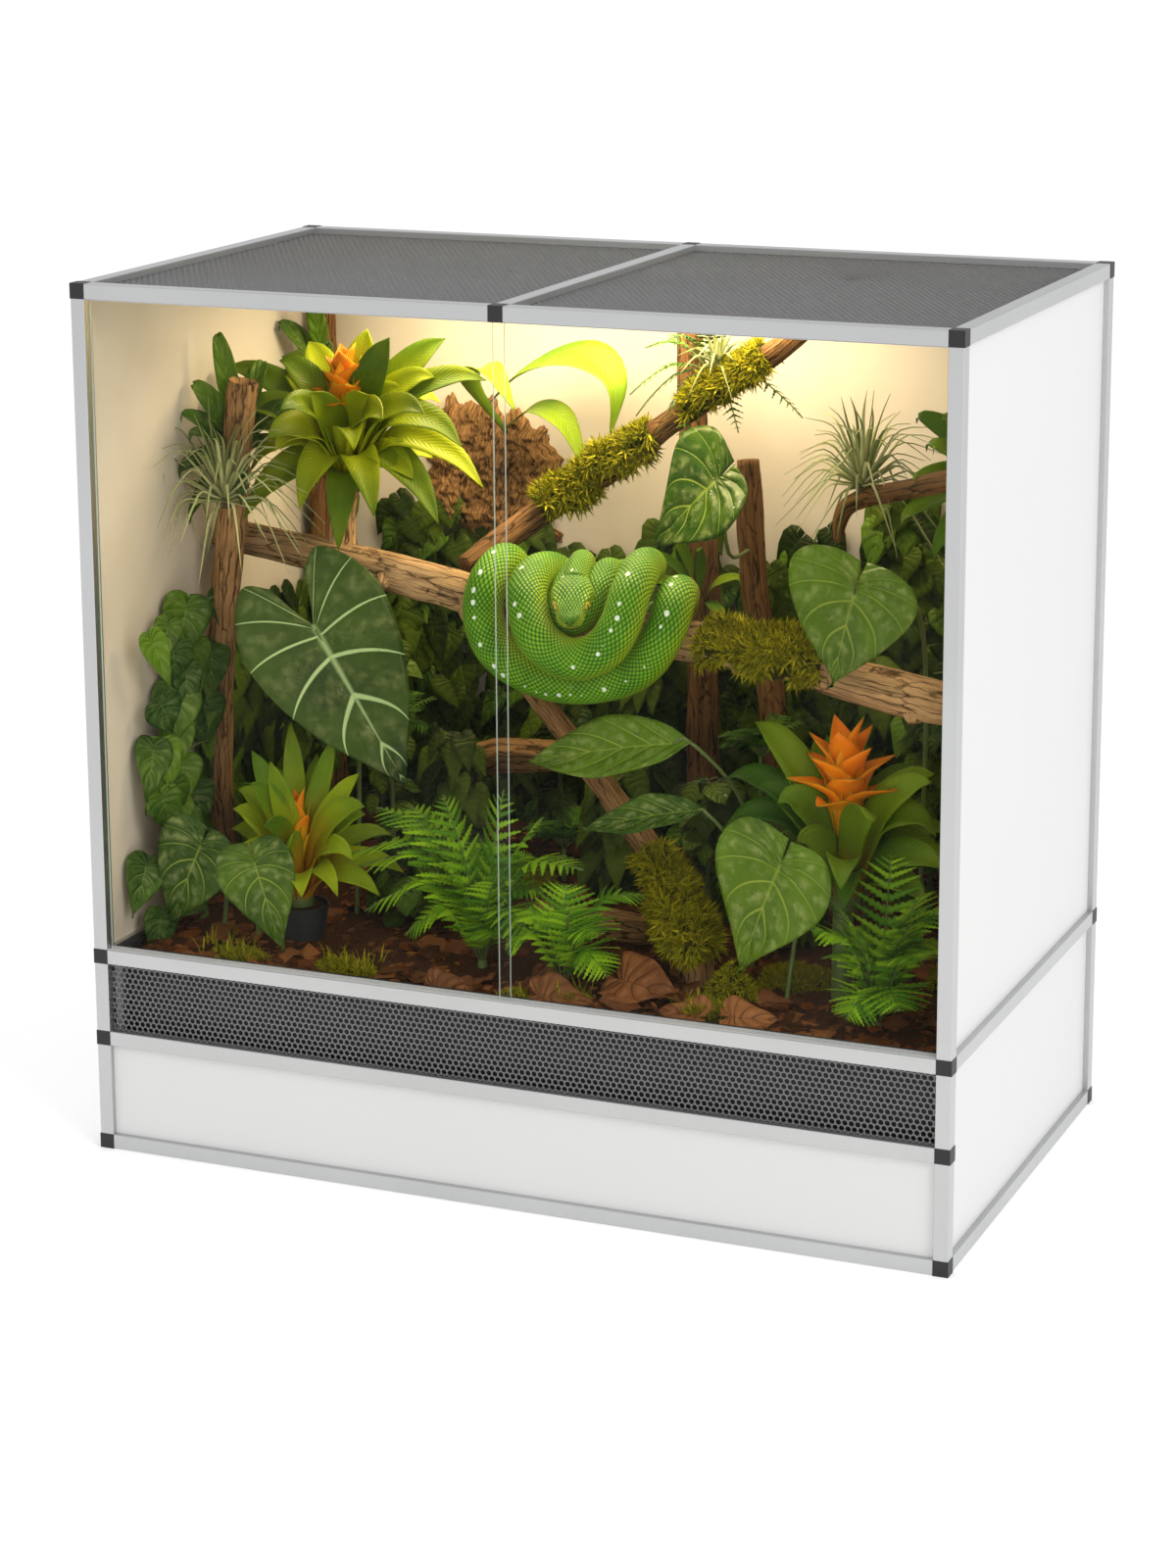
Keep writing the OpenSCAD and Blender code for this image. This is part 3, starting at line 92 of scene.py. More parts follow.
def build_studio():
    """Even white light all round, a soft key from the right and a warm lamp under the roof."""
    bpy.context.scene.view_settings.view_transform = "Standard"
    world = bpy.data.worlds.new("studio")
    world.use_nodes = True
    feed(world.node_tree.nodes["Background"], Color=(1, 1, 1), Strength=0.8)
    bpy.context.scene.world = world
    area_light("key", (4.5, -3.0, 3.6), (0.2, 0, 0.6), (2.6, 2.6), 90)
    warm = (1.0, 0.84, 0.56)
    area_light("grow_lamp", (-0.06, 0.10, 1.15), (-0.06, 0.16, 0.2), (0.62, 0.2), 6.5, warm)

    bm = bmesh.new()
    ops.create_grid(bm, x_segments=4, y_segments=4, size=80)
    floor = show("floor", mesh_from(bm, "floor"))
    material, tree, shader = new_material("floor", 0.9)
    camera_ray, glossy_ray, through_ray = add(
        tree, "LightPath", out=("Is Camera Ray", "Is Glossy Ray", "Is Transmission Ray"))
    seen = camera_ray.calc("MAXIMUM", glossy_ray.calc("MAXIMUM", through_ray))
    feed(shader, Base_Color=(0.97, 0.97, 0.97), Specular_IOR_Level=0.0,
         Emission_Color=(1, 1, 1), Emission_Strength=seen * 0.26)
    floor.data.materials.append(material)


# ---- Shader tools --------------------------------------------------------------------
def math_node(operation, swapped=False):
    def made(self, *others):
        values = (*others, self) if swapped else (self, *others)
        return add(self.tree, "Math", *values, operation=operation)
    return made


class Wire:
    """An output in a shader tree. Its arithmetic adds Math nodes to the tree."""
    __add__ = math_node("ADD")
    __sub__ = math_node("SUBTRACT")
    __rsub__ = math_node("SUBTRACT", swapped=True)
    __mul__ = math_node("MULTIPLY")
    __truediv__ = math_node("DIVIDE")
    __lt__ = math_node("LESS_THAN")
    __gt__ = math_node("GREATER_THAN")
    __abs__ = math_node("ABSOLUTE")

    def __init__(self, socket):
        self.socket = socket
        self.tree = socket.id_data

    def calc(self, operation, *others):
        return add(self.tree, "Math", self, *others, operation=operation)


def put(socket, value):
    """Links a wire to an input, or sets the input's own value. None leaves it as it is."""
    if isinstance(value, Wire):
        value.tree.links.new(value.socket, socket)
    elif value is not None:
        lacks_alpha = socket.type == "RGBA" and len(value) == 3
        socket.default_value = (*value, 1) if lacks_alpha else value


def feed(node, **values):
    """Puts values into a node's inputs by name."""
    for label, value in values.items():
        put(node.inputs[label.replace("_", " ")], value)


def add(tree, kind, *values, out=0, **settings):
    """A shader node with its first inputs filled in order. Gives the outputs that out names."""
    made = tree.nodes.new("ShaderNode" + kind)
    for key, value in settings.items():
        setattr(made, key, value)
    for socket, value in zip(made.inputs, values):
        put(socket, value)
    if isinstance(out, tuple):
        return [Wire(made.outputs[key]) for key in out]
    return Wire(made.outputs[out])


def blend(mask, first, second):
    """First colour where the mask is 0, second where it is 1."""
    made = mask.tree.nodes.new("ShaderNodeMix")
    made.data_type = "RGBA"
    for index, value in ((0, mask), (6, first), (7, second)):
        put(made.inputs[index], value)
    return Wire(made.outputs[2])


def shaded(colour, value):
    """A colour made darker or lighter."""
    made = value.tree.nodes.new("ShaderNodeHueSaturation")
    feed(made, Value=value, Color=colour)
    return Wire(made.outputs[0])


def ranged(value, *limits, **settings):
    return add(value.tree, "MapRange", value, *limits, **settings)


def smooth(value, low, high):
    """0 below low, 1 above high, smooth between them."""
    return ranged(value, low, high, interpolation_type="SMOOTHSTEP")


def stretched(place, scale):
    return add(place.tree, "Mapping", place, None, None, scale)


def cloud(place, scale, detail, *rest, **settings):
    return add(place.tree, "TexNoise", place, None, scale, detail, *rest, **settings)


def places(tree, kind="Object"):
    return add(tree, "TexCoord", out=kind)


def leaf_places(tree):
    """How far across and along its grid a point lies."""
    return add(tree, "SeparateXYZ", places(tree, "UV"), out=(0, 1))


def new_material(name, roughness=0.5, metallic=0.0):
    material = bpy.data.materials.new(name)
    material.use_nodes = True
    shader = material.node_tree.nodes["Principled BSDF"]
    feed(shader, Roughness=roughness, Metallic=metallic)
    return material, material.node_tree, shader


def base_of(material):
    """A finished material's shader, and the wire that feeds its colour."""
    shader = material.node_tree.nodes["Principled BSDF"]
    return shader, Wire(shader.inputs["Base Color"].links[0].from_socket)


def open_group(name, **inputs):
    """A shader node group and the wires of its inputs."""
    tree = bpy.data.node_groups.new(name, "ShaderNodeTree")
    for label, default in inputs.items():
        kind = "NodeSocketColor" if isinstance(default, tuple) else "NodeSocketFloat"
        socket = tree.interface.new_socket(name=label, in_out="INPUT", socket_type=kind)
        socket.default_value = (*default, 1) if isinstance(default, tuple) else default
    given = tree.nodes.new("NodeGroupInput").outputs
    return tree, [Wire(given[label]) for label in inputs]


def close_group(tree, **results):
    for label in results:
        kind = "NodeSocketColor" if label == "Color" else "NodeSocketFloat"
        tree.interface.new_socket(name=label, in_out="OUTPUT", socket_type=kind)
    feed(tree.nodes.new("NodeGroupOutput"), **results)
    return tree


def use_group(tree, group, **values):
    """A group's outputs by name."""
    made = tree.nodes.new("ShaderNodeGroup")
    made.node_tree = group
    feed(made, **values)
    return {socket.name: Wire(socket) for socket in made.outputs}


def bump(shader, height, distance, strength=1.0):
    made = height.tree.nodes.new("ShaderNodeBump")
    feed(made, Strength=strength, Distance=distance, Height=height)
    feed(shader, Normal=Wire(made.outputs[0]))


def speckle_group():
    """Fine and broad unevenness of a surface."""
    tree, (scale, broad) = open_group("speckle", Scale=100.0, Broad=6.0)
    place = places(tree)
    return close_group(tree, Fine=cloud(place, scale, 4.0), Patches=cloud(place, broad, 3.0))


def vein_group():
    """Midrib and side veins of a leaf, and the swelling between them."""
    tree, (count, slant, width, rib_width) = open_group(
        "leaf_veins", Count=8.0, Slant=0.5, Width=0.1, Rib=0.05)
    across, along = leaf_places(tree)
    side = abs(across * 2.0 - 1.0)
    rib = 1.0 - ranged(side, 0.0, rib_width * (1.15 - along), 0.2, 1.0)
    wave = abs((along * count - side * slant).calc("FRACT") - 0.5)
    thin = width * (1.15 - side)
    foot = 0.5 - thin
    branch = (wave > foot) * ((wave - foot) / thin * 2.0).calc("MINIMUM", 1.0)
    return close_group(tree, Veins=rib.calc("MAXIMUM", 0.0).calc("MAXIMUM", branch),
                       Swell=((0.5 - wave) * math.pi).calc("SINE"))


def droplet_group():
    """Small round drops of water scattered over a surface."""
    tree, (scale, amount) = open_group("water_drops", Scale=140.0, Amount=0.3)
    colour, distance = add(tree, "TexVoronoi", places(tree), None, scale, out=("Color", "Distance"))
    chance = add(tree, "SeparateXYZ", colour)
    size = (chance < amount) * (chance * 0.6 + 0.12)
    round_off = 1.0 - distance / (size + 0.0001)
    return close_group(tree, Drops=round_off.calc("MAXIMUM", 0.0).calc("SQRT"))


def bark_group():
    """Ridges, cracks and pale streaks that run along a limb whose UV is in metres."""
    tree, (pale, dark, grain) = open_group(
        "bark", Pale=(0.34, 0.2, 0.1), Dark=(0.05, 0.025, 0.012), Grain=1.0)
    place = add(tree, "VectorMath", places(tree, "UV"), None, None, grain, operation="SCALE")
    ridges = cloud(stretched(place, (190, 12, 1)), 1.0, 8.0, 0.66)
    bend = cloud(stretched(place, (40, 30, 1)), 1.0, 3.0, out="Color")
    bent = add(tree, "VectorMath", stretched(place, (95, 9, 1)), bend)
    cracks = add(tree, "TexVoronoi", bent, None, 1.0, feature="DISTANCE_TO_EDGE", out="Distance")
    height = ridges * (smooth(cracks, 0.0, 0.10) * 0.32 + 0.68)
    # Low grooves and cracks take the dark colour: the wood's own darker furrows, deepened by
    # painted shade in them.
    mixed = blend(smooth(height, 0.26, 0.54), dark, pale)
    shade = ranged(cloud(places(tree), 11.0, 4.0), 0.3, 0.7, 0.55, 1.25)
    return close_group(tree, Color=shaded(mixed, shade), Height=height)


SPECKLE = speckle_group()
VEINS = vein_group()
DROPS = droplet_group()
BARK = bark_group()


# ---- Finishes ------------------------------------------------------------------------
WARM_GLOSS = (1.0, 0.88, 0.45)      # the room's warm light on leaves and wood
# Just outside the inner faces of the boards, in metres.
INNER_X = 0.5885
INNER_Y = 0.3285
HEAD_UV = 3.0     # the snake's head has its UV map here, past the end of the body's


def plain_finish(name, colour, roughness, metallic=0.0, scale=300.0, relief=0.0001, shade=0.06):
    """A moulded, coated or drawn surface with fine unevenness."""
    material, tree, shader = new_material(name, roughness, metallic)
    spots = use_group(tree, SPECKLE, Scale=scale, Broad=5.0)
    low, high = (tuple(min(1, c * tone) for c in colour) for tone in (1 - shade, 1 + shade))
    feed(shader, Base_Color=blend(spots["Patches"], low, high),
         Roughness=ranged(spots["Fine"], 0.3, 0.7, roughness * 0.85, roughness * 1.15))
    bump(shader, spots["Fine"], relief, 0.3)
    return material


def wall_finish():
    """White laminate outside. Inside, a warm cream is painted over the white boards for the room's
    warm lamp light and dimness, darker in patches at random as painted shade.
    """
    material = plain_finish("board_painted_light_inside", LAMINATE, 0.4, scale=220.0, shade=0.012)
    shader, outside = base_of(material)
    place = places(material.node_tree)
    x, y = add(place.tree, "SeparateXYZ", place, out=(0, 1))
    inside = (abs(x) < INNER_X) * (abs(y) < INNER_Y)
    # Painted light and shade: the warm cream inside stands for lamp light on the white boards, and
    # random patches make it darker.
    painted_shade_patches = smooth(cloud(place, 3.5, 5.0), 0.3, 0.75)
    painted_room_light = blend(painted_shade_patches, (0.80, 0.70, 0.54), (0.67, 0.57, 0.41))
    feed(shader, Base_Color=blend(inside, outside, painted_room_light))
    return material


def aluminium_finish():
    """Satin anodised tube: fine lines from the draw and a faint change of tone."""
    material, tree, shader = new_material("satin_aluminium", 0.42, 1.0)
    place = places(tree)
    lines = cloud(stretched(place, (18, 18, 18)), 40.0, 5.0)
    feed(shader, Base_Color=blend(cloud(place, 3.0, 2.0), (0.50, 0.505, 0.51), (0.62, 0.625, 0.63)),
         Roughness=ranged(lines, 0.3, 0.7, 0.34, 0.5))
    bump(shader, lines, 0.00005, 0.25)
    return material


def glass_finish():
    """Clear float glass: nearly nothing through the face, pale green at the cut edges."""
    material, tree, shader = new_material("door_glass", 0.02)
    normal_y = add(tree, "SeparateXYZ", places(tree, "Normal"), out=1)
    edge = abs(normal_y) < 0.5
    haze = ranged(cloud(places(tree), 4.0, 3.0), 0.35, 0.75, 0.002, 0.006)
    feed(shader, Transmission_Weight=0.0, IOR=1.5, Alpha=haze + edge * 0.75,
         Base_Color=blend(edge, (0.75, 0.8, 0.78), (0.62, 0.72, 0.64)))
    return material


def bark_finish(name, pale, dark, grain=1.0, relief=0.004):
    material, tree, shader = new_material(name, 0.82)
    bark = use_group(tree, BARK, Pale=pale, Dark=dark, Grain=grain)
    feed(shader, Base_Color=bark["Color"], Specular_IOR_Level=0.25, Specular_Tint=WARM_GLOSS)
    bump(shader, bark["Height"], relief)
    return material


def leaf_finish(name, young, old, vein, count=7.0, slant=0.6, width=0.05, rib=0.05, show=0.3,
                roughness=0.35, relief=0.002, drops=0.0, highlight_colour=None, highlight_strength=0.0, patch=0.2):
    """A leaf blade: two greens that change from leaf to leaf, veins, a swelling, drops and painted
    highlights.

    highlight_strength is how strongly a painted highlight, pale patches of gloss between the veins
    in highlight_colour, is laid into the colour, and patch how soft the patches are.
    """
    material, tree, shader = new_material(name, roughness)
    veins = use_group(tree, VEINS, Count=count, Slant=slant, Width=width, Rib=rib)
    spots = use_group(tree, SPECKLE, Scale=260.0, Broad=9.0)
    island = add(tree, "NewGeometry", out="Random Per Island")
    blade = blend(smooth(spots["Patches"] * 0.9 + island * 0.5, 0.45, 0.95), old, young)
    # Painted highlight: pale gloss laid into the colour in patches between the veins.
    if highlight_strength:
        fine = use_group(tree, SPECKLE, Scale=70.0, Broad=9.0)["Fine"]
        swollen = veins["Swell"] * veins["Swell"]
        blade = blend(smooth(fine, 0.58 - patch, 0.58 + patch) * swollen * highlight_strength, blade, highlight_colour)
    feed(shader, Base_Color=blend(veins["Veins"] * show, blade, vein),
         Roughness=ranged(spots["Fine"], 0.2, 0.8, roughness * 0.7, roughness * 1.4),
         Specular_IOR_Level=0.22, Specular_Tint=WARM_GLOSS)
    height = veins["Swell"] * 0.6 + spots["Fine"] * 0.16
    if drops:
        water = use_group(tree, DROPS, Scale=150.0, Amount=drops)["Drops"]
        height = height + water * 0.9
        feed(shader, Coat_Weight=ranged(water, 0.0, 0.1, 0.0, 0.6))
    bump(shader, height, relief, 0.9)
    return material


def soil_finish():
    material, tree, shader = new_material("soil", 0.95)
    spots = use_group(tree, SPECKLE, Scale=320.0, Broad=24.0)
    crumbs = blend(smooth(spots["Fine"], 0.35, 0.65), (0.006, 0.003, 0.0015), (0.10, 0.036, 0.013))
    feed(shader, Base_Color=blend(spots["Patches"], crumbs, (0.06, 0.024, 0.01)),
         Specular_IOR_Level=0.15, Specular_Tint=WARM_GLOSS)
    bump(shader, spots["Fine"], 0.004)
    return material


def scatter_finish(name, colours, roughness=0.8):
    """Loose bits, each with its own colour."""
    material, tree, shader = new_material(name, roughness)
    spots = use_group(tree, SPECKLE, Scale=400.0, Broad=40.0)
    island = add(tree, "NewGeometry", out="Random Per Island")
    ramp = tree.nodes.new("ShaderNodeValToRGB")
    put(ramp.inputs[0], island)
    steps = ramp.color_ramp.elements
    while len(steps) < len(colours):
        steps.new(0.5)
    for k, colour in enumerate(colours):
        steps[k].position = k / (len(colours) - 1)
        steps[k].color = (*colour, 1)
    shade = ranged(spots["Fine"], 0.3, 0.7, 0.6, 1.3)
    feed(shader, Base_Color=shaded(Wire(ramp.outputs[0]), shade),
         Specular_IOR_Level=0.15, Specular_Tint=WARM_GLOSS)
    bump(shader, spots["Fine"], 0.001, 0.8)
    return material


def snake_finish():
    """Green scales in slanting rows, a yellow belly, and white spots along the back."""
    material, tree, shader = new_material("snake_skin", 0.38)
    across, along = leaf_places(tree)
    # The back is at u = 0 and the belly at half the girth; the grid's seam lies under the belly.
    rows, steps = across * 330.0, along * 260.0
    first, second = (abs((slope * (math.pi / 2)).calc("SINE"))
                     for slope in (rows + steps, rows - steps))
    dome = first * second
    spots = use_group(tree, SPECKLE, Scale=500.0, Broad=26.0)
    side = abs(across)
    skin = (0.07, 0.25, 0.003)
    # Gaps between the scales are dark and the crowns light: the skin's own dark gaps with painted
    # shade in them, and a painted highlight on each crown.
    for mask, colour in ((smooth(spots["Patches"], 0.35, 0.65), (0.14, 0.36, 0.005)),
                         (smooth(side, 0.012, 0.038), (0.36, 0.50, 0.006)),
                         (smooth(side, 0.036, 0.056), (0.50, 0.44, 0.012)),
                         (smooth(dome, 0.42, 0.03), (0.012, 0.07, 0.001)),
                         (smooth(dome, 0.80, 1.0), (0.32, 0.52, 0.04))):
        skin = blend(mask, skin, colour)
    cells = tree.nodes.new("ShaderNodeTexVoronoi")
    feed(cells, Vector=add(tree, "CombineXYZ", across * 64.0, along * 64.0), Scale=1.0,
         Randomness=0.3)
    fleck = (side < 0.009) * (along < HEAD_UV) * (Wire(cells.outputs["Distance"]) < 0.2)
    feed(shader, Base_Color=blend(fleck, skin, (0.80, 0.88, 0.70)),
         Specular_IOR_Level=0.3, Specular_Tint=WARM_GLOSS)
    bump(shader, dome + spots["Fine"] * 0.2, 0.0012, 0.9)
    return material


# ---- Shape tools ---------------------------------------------------------------------
def through(points, count):
    """So many stations on a smooth line through rows of numbers."""
    rows = np.array([tuple(p) for p in points], float)
    rows = np.vstack([2 * rows[0] - rows[1], rows, 2 * rows[-1] - rows[-2]])
    made = []
    for place in np.linspace(0, len(points) - 1, count):
        i = min(int(place), len(points) - 2)
        t = place - i
        a, b, c, d = rows[i:i + 4]
        made.append(0.5 * (2 * b + (c - a) * t + (2 * a - 5 * b + 4 * c - d) * t * t
                           + (3 * b - a - 3 * c + d) * t ** 3))
    return made


def curve(points, count):
    return [Vector(p) for p in through(points, count)]


def stations(points, count):
    """Evenly spaced stations as (centre, radius) from (x, y, z, radius) points, and the length."""
    fine = through(points, count * 6)
    steps = [np.linalg.norm(b[:3] - a[:3]) for a, b in zip(fine, fine[1:])]
    run = np.concatenate([[0], np.cumsum(steps)])
    even = np.array([[np.interp(s, run, [f[k] for f in fine]) for k in range(4)]
                     for s in np.linspace(0, run[-1], count)])
    return [(Vector(e[:3]), e[3]) for e in even], run[-1]


def ahead_on(path, i):
    """The direction of a path at one of its stations."""
    return (path[min(i + 1, len(path) - 1)] - path[max(i - 1, 0)]).normalized()


def square_to(direction, guide):
    """The guide, made square to a direction."""
    return (guide - direction * guide.dot(direction)).normalized()


def new_piece():
    bm = bmesh.new()
    bm.loops.layers.uv.verify()
    return bm


def mesh_from(bm, name):
    mesh = bpy.data.meshes.new(name)
    bm.to_mesh(mesh)
    bm.free()
    return mesh


def pour(bm, mesh):
    """Adds a mesh to a bmesh and removes it."""
    bm.from_mesh(mesh)
    bpy.data.meshes.remove(mesh)


def sheet_grid(bm, across, along):
    """A flat grid with a UV map, and its vertices with their share across and along."""
    bm.loops.layers.uv.verify()
    made = ops.create_grid(bm, x_segments=across, y_segments=along, size=0.5, calc_uvs=True)
    return made["verts"], [(v, v.co.x + 0.5, v.co.y + 0.5) for v in made["verts"]]


def only(kind, geometry):
    return [g for g in geometry if isinstance(g, kind)]


def faces_of(verts):
    """The faces at some vertices, in an order that is the same each run."""
    return list(dict.fromkeys(f for v in verts for f in v.link_faces))


def rim_of(bm):
    return [e for e in bm.edges if e.is_boundary]


def move(bm, verts, by):
    ops.translate(bm, verts=verts, vec=by)


def turn_about(bm, verts, angle, axis):
    ops.rotate(bm, verts=verts, cent=(0, 0, 0), matrix=Matrix.Rotation(angle, 3, axis))


def face_outward(bm):
    ops.recalc_face_normals(bm, faces=bm.faces[:])


def set_slot(faces, index):
    for f in faces:
        f.material_index = index
        f.smooth = True


def cut_off(bm, axis, limit):
    """Cuts off what lies past a plane, and closes the cut."""
    cut = ops.bisect_plane(bm, geom=bm.verts[:] + bm.edges[:] + bm.faces[:], dist=1e-4,
                           plane_co=axis * limit, plane_no=axis, clear_outer=True)
    ops.holes_fill(bm, edges=only(BMEdge, cut["geom_cut"]))


def apart(make):
    """Lets a builder work in a small bmesh, because bmesh operators slow down in a large one."""
    def build(bm, *args, **options):
        small = new_piece()
        make(small, *args, **options)
        pour(bm, mesh_from(small, "part"))
    return build


@apart
def limb(bm, points, sides=20, step=8.0, rough=0.0, seed=0.0, back=None, index=0, ends=True):
    """A round limb through (x, y, z, radius) points: a grid rolled up along its path.

    rough is the share of the radius that knots and ridges stand out by. back(point)
    says which way the first column of the grid faces.
    """
    count = max(3, int(stations(points, 4)[1] / step) + 1)
    path, length = stations(points, count)
    centres = [centre for centre, _ in path]
    frames = []
    side = None
    for i, (centre, radius) in enumerate(path):
        ahead = ahead_on(centres, i)
        guide = back(centre) if back else (side or (UP if abs(ahead.z) < 0.9 else vec(0, 1, 0)))
        side = square_to(ahead, guide)
        frames.append((centre, side, ahead.cross(side), radius))
    verts, shares = sheet_grid(bm, sides, count - 1)
    layer = bm.loops.layers.uv.active
    girth = tau * sum(r for _, r in path) / count * MM
    for f in faces_of(verts):
        for loop in f.loops:
            u, t = loop[layer].uv
            loop[layer].uv = ((u - 0.5) * girth, t * length * MM + seed)
    for v, u, t in shares:
        centre, side, other, radius = frames[round(t * (count - 1))]
        turn = (u - 0.5) * tau
        if rough:
            where = vec(cos(turn) * 1.6 + seed, sin(turn) * 1.6, t * length / 60)
            ridges = vec(cos(turn) * 5 + seed, sin(turn) * 5, t * length / 90)
            radius *= 1 + rough * (noise.noise(where) + 0.45 * noise.noise(ridges)
                                   + 0.25 * noise.noise(where * 5))
        v.co = centre + (side * cos(turn) + other * sin(turn)) * radius
    faces = faces_of(verts)
    ops.remove_doubles(bm, verts=verts, dist=1e-4)
    set_slot([f for f in faces if f.is_valid], index)
    if ends:
        edges = dict.fromkeys(e for f in faces if f.is_valid for e in f.edges if e.is_boundary)
        set_slot(ops.holes_fill(bm, edges=list(edges), sides=sides + 1)["faces"], index)


# Outlines of leaves from stalk to tip: the rib's share of the length, and the edge's share of
# the length and of the width. A strap's outline has only the share of the width.
HEART = [(0, -0.20, 0.02), (0.02, -0.23, 0.22), (0.05, -0.17, 0.40), (0.12, 0.0, 0.50),
         (0.27, 0.22, 0.48), (0.52, 0.50, 0.33), (0.78, 0.78, 0.13), (0.93, 0.93, 0.03), (1, 1, 0)]
ARROW = [(0, -0.28, 0.12), (0.02, -0.36, 0.26), (0.05, -0.24, 0.40), (0.14, -0.02, 0.49),
         (0.30, 0.26, 0.45), (0.55, 0.54, 0.33), (0.80, 0.80, 0.15), (0.94, 0.94, 0.04), (1, 1, 0)]
LANCE = [(0, 0, 0.02), (0.12, 0.15, 0.30), (0.28, 0.33, 0.47), (0.5, 0.54, 0.50),
         (0.75, 0.77, 0.32), (0.92, 0.93, 0.10), (1, 1, 0)]
GRASS = [(0, 0.5), (0.3, 0.42), (0.7, 0.24), (1, 0)]
BRACT = [(0, 0.10), (0.30, 0.16), (0.50, 0.30), (0.70, 0.46), (0.85, 0.34), (1, 0)]
BROMELIAD_STRAP = [(0, 0.30), (0.12, 0.36), (0.30, 0.44), (0.55, 0.50), (0.76, 0.43), (0.90, 0.24),
                   (1, 0)]
LIME_STRAP = [(0, 0.06), (0.15, 0.2), (0.35, 0.45), (0.6, 0.5), (0.85, 0.28), (1, 0)]
TRUNK_STRAP = [(0, 0.08), (0.2, 0.2), (0.45, 0.48), (0.7, 0.44), (0.9, 0.16), (1, 0)]


def thicken(bm, verts, thickness, index):
    """Closes a leaf's tip and gives it its thickness."""
    faces = faces_of(verts)
    ops.remove_doubles(bm, verts=verts, dist=1e-3)
    faces = [f for f in faces if f.is_valid]
    made = ops.solidify(bm, geom=faces, thickness=thickness)["geom"]
    set_slot(faces + only(BMFace, made), index)


@apart
def leaf(bm, outline, base, tip, facing, width, fold=0.2, droop=0.2, wave=0.0, quilt=0.0, veins=8,
         across=12, along=20, thickness=0.8, seed=0.0, index=0):
    """A broad leaf from the end of its stalk to its tip, its upper side facing a direction."""
    base, tip = Vector(base), Vector(tip)
    length = (tip - base).length
    x = (tip - base) / length
    z = square_to(x, Vector(facing))
    y = z.cross(x)
    fine = np.array(through(outline, 60))
    verts, shares = sheet_grid(bm, across, along)
    for v, u, t in shares:
        s = 2 * u - 1
        a = abs(s)
        rib, edge_x, edge_y = (np.interp(t, np.linspace(0, 1, 60), fine[:, k]) for k in range(3))
        px = rib + (edge_x - rib) * a ** 1.25
        py = math.copysign(edge_y * a, s)
        ripple = sin(t * 17 + seed * 3 + (2 if s > 0 else 0)) * a * a
        swell = quilt * abs(sin(math.pi * veins * t - 0.6 * a)) * (1 - a) * min(1, a * 6)
        pz = (fold * edge_y * width * (a ** 1.6) + wave * width * ripple + swell * width
              - droop * length * px * abs(px) - 0.25 * width * edge_y * max(0, a - 0.6) ** 2)
        v.co = base + x * px * length + y * py * width + z * pz
    thicken(bm, verts, thickness, index)


@apart
def strap(bm, points, width, outline, channel=0.28, across=4, along=16, thickness=0.8, index=0,
          facing=None):
    """A long leaf along a path, hollowed along its length."""
    points = [Vector(p) for p in points]
    heading = points[-1] - points[0]
    level = vec(heading.x, heading.y, 0)
    side0 = (level.cross(UP) if level.length > 1e-6 else vec(1, 0, 0)).normalized()
    if facing is not None:
        side0 = heading.cross(Vector(facing)).normalized()
    path = curve(points, along + 1)
    half = through(outline, along + 1)
    verts, shares = sheet_grid(bm, across, along)
    for v, u, t in shares:
        i = round(t * along)
        ahead = ahead_on(path, i)
        side = square_to(ahead, side0)
        s = 2 * u - 1
        w = max(0.0, half[i][1]) * width if i < along else 0.0
        v.co = path[i] + side * s * w + side.cross(ahead) * channel * w * s * s
    thicken(bm, verts, thickness, index)


def stalk(bm, points, radius, sides=6):
    """A tapered stalk through points, in the second finish of its piece."""
    steps = len(points) - 1
    tapered = [(*Vector(p), radius * (1 - 0.35 * k / steps)) for k, p in enumerate(points)]
    limb(bm, tapered, sides=sides, step=22, index=1)


def stump(bm, centre, axis, sections, sides, step, **options):
    """A short straight limb through (place on its axis, radius) sections."""
    limb(bm, [(*(centre + axis * place), radius) for place, radius in sections], sides=sides,
         step=step, **options)


def copy_in(bm, mesh, matrix):
    """Adds a copy of a model mesh, placed by a matrix."""
    placed = mesh.copy()
    placed.transform(matrix)
    pour(bm, placed)


def axes(x, y, z, centre):
    return Matrix.Translation(centre) @ Matrix((x, y, z)).transposed().to_4x4()


def piece(name, bm, materials, stands_for=(), body="cabinet"):
    """Makes a bmesh in millimetres a piece that rides on a body of the frame."""
    ops.scale(bm, vec=(MM, MM, MM), verts=bm.verts[:])
    made = show(name, mesh_from(bm, name))
    for material in materials:
        made.data.materials.append(material)
    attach(made, body)
    if stands_for:
        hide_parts(*stands_for)


build_camera()
build_studio()

# ---- The frame's finishes ------------------------------------------------------------
LAMINATE = (0.83, 0.83, 0.825)
BLACK = plain_finish("black_nylon", (0.014, 0.014, 0.015), 0.5, scale=500.0)
TUB = plain_finish("black_tub", (0.02, 0.02, 0.02), 0.6)
ROOF_MESH = plain_finish("roof_mesh_steel", (0.27, 0.27, 0.275), 0.5, metallic=0.6)
VENT_MESH = plain_finish("vent_mesh_steel", (0.34, 0.34, 0.345), 0.45, metallic=0.6)
SOIL = soil_finish()
ALUMINIUM = aluminium_finish()
# What a node's name holds, and its finish. The first that fits counts.
DRESS = (("connector", BLACK), ("rail", ALUMINIUM), ("posts", ALUMINIUM),
         ("upper_panel", wall_finish()),
         ("panel", plain_finish("white_laminate", LAMINATE, 0.38, scale=220.0, shade=0.012)),
         ("glass", glass_finish()), ("track", plain_finish("door_track", (0.62, 0.62, 0.62), 0.45)),
         ("soil_tub", TUB), ("pot", TUB), ("soil", SOIL))

for node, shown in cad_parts.items():
    finish = next((finish for part, finish in DRESS if part in node), None)
    if finish:
        shown.data.materials.clear()
        shown.data.materials.append(finish)


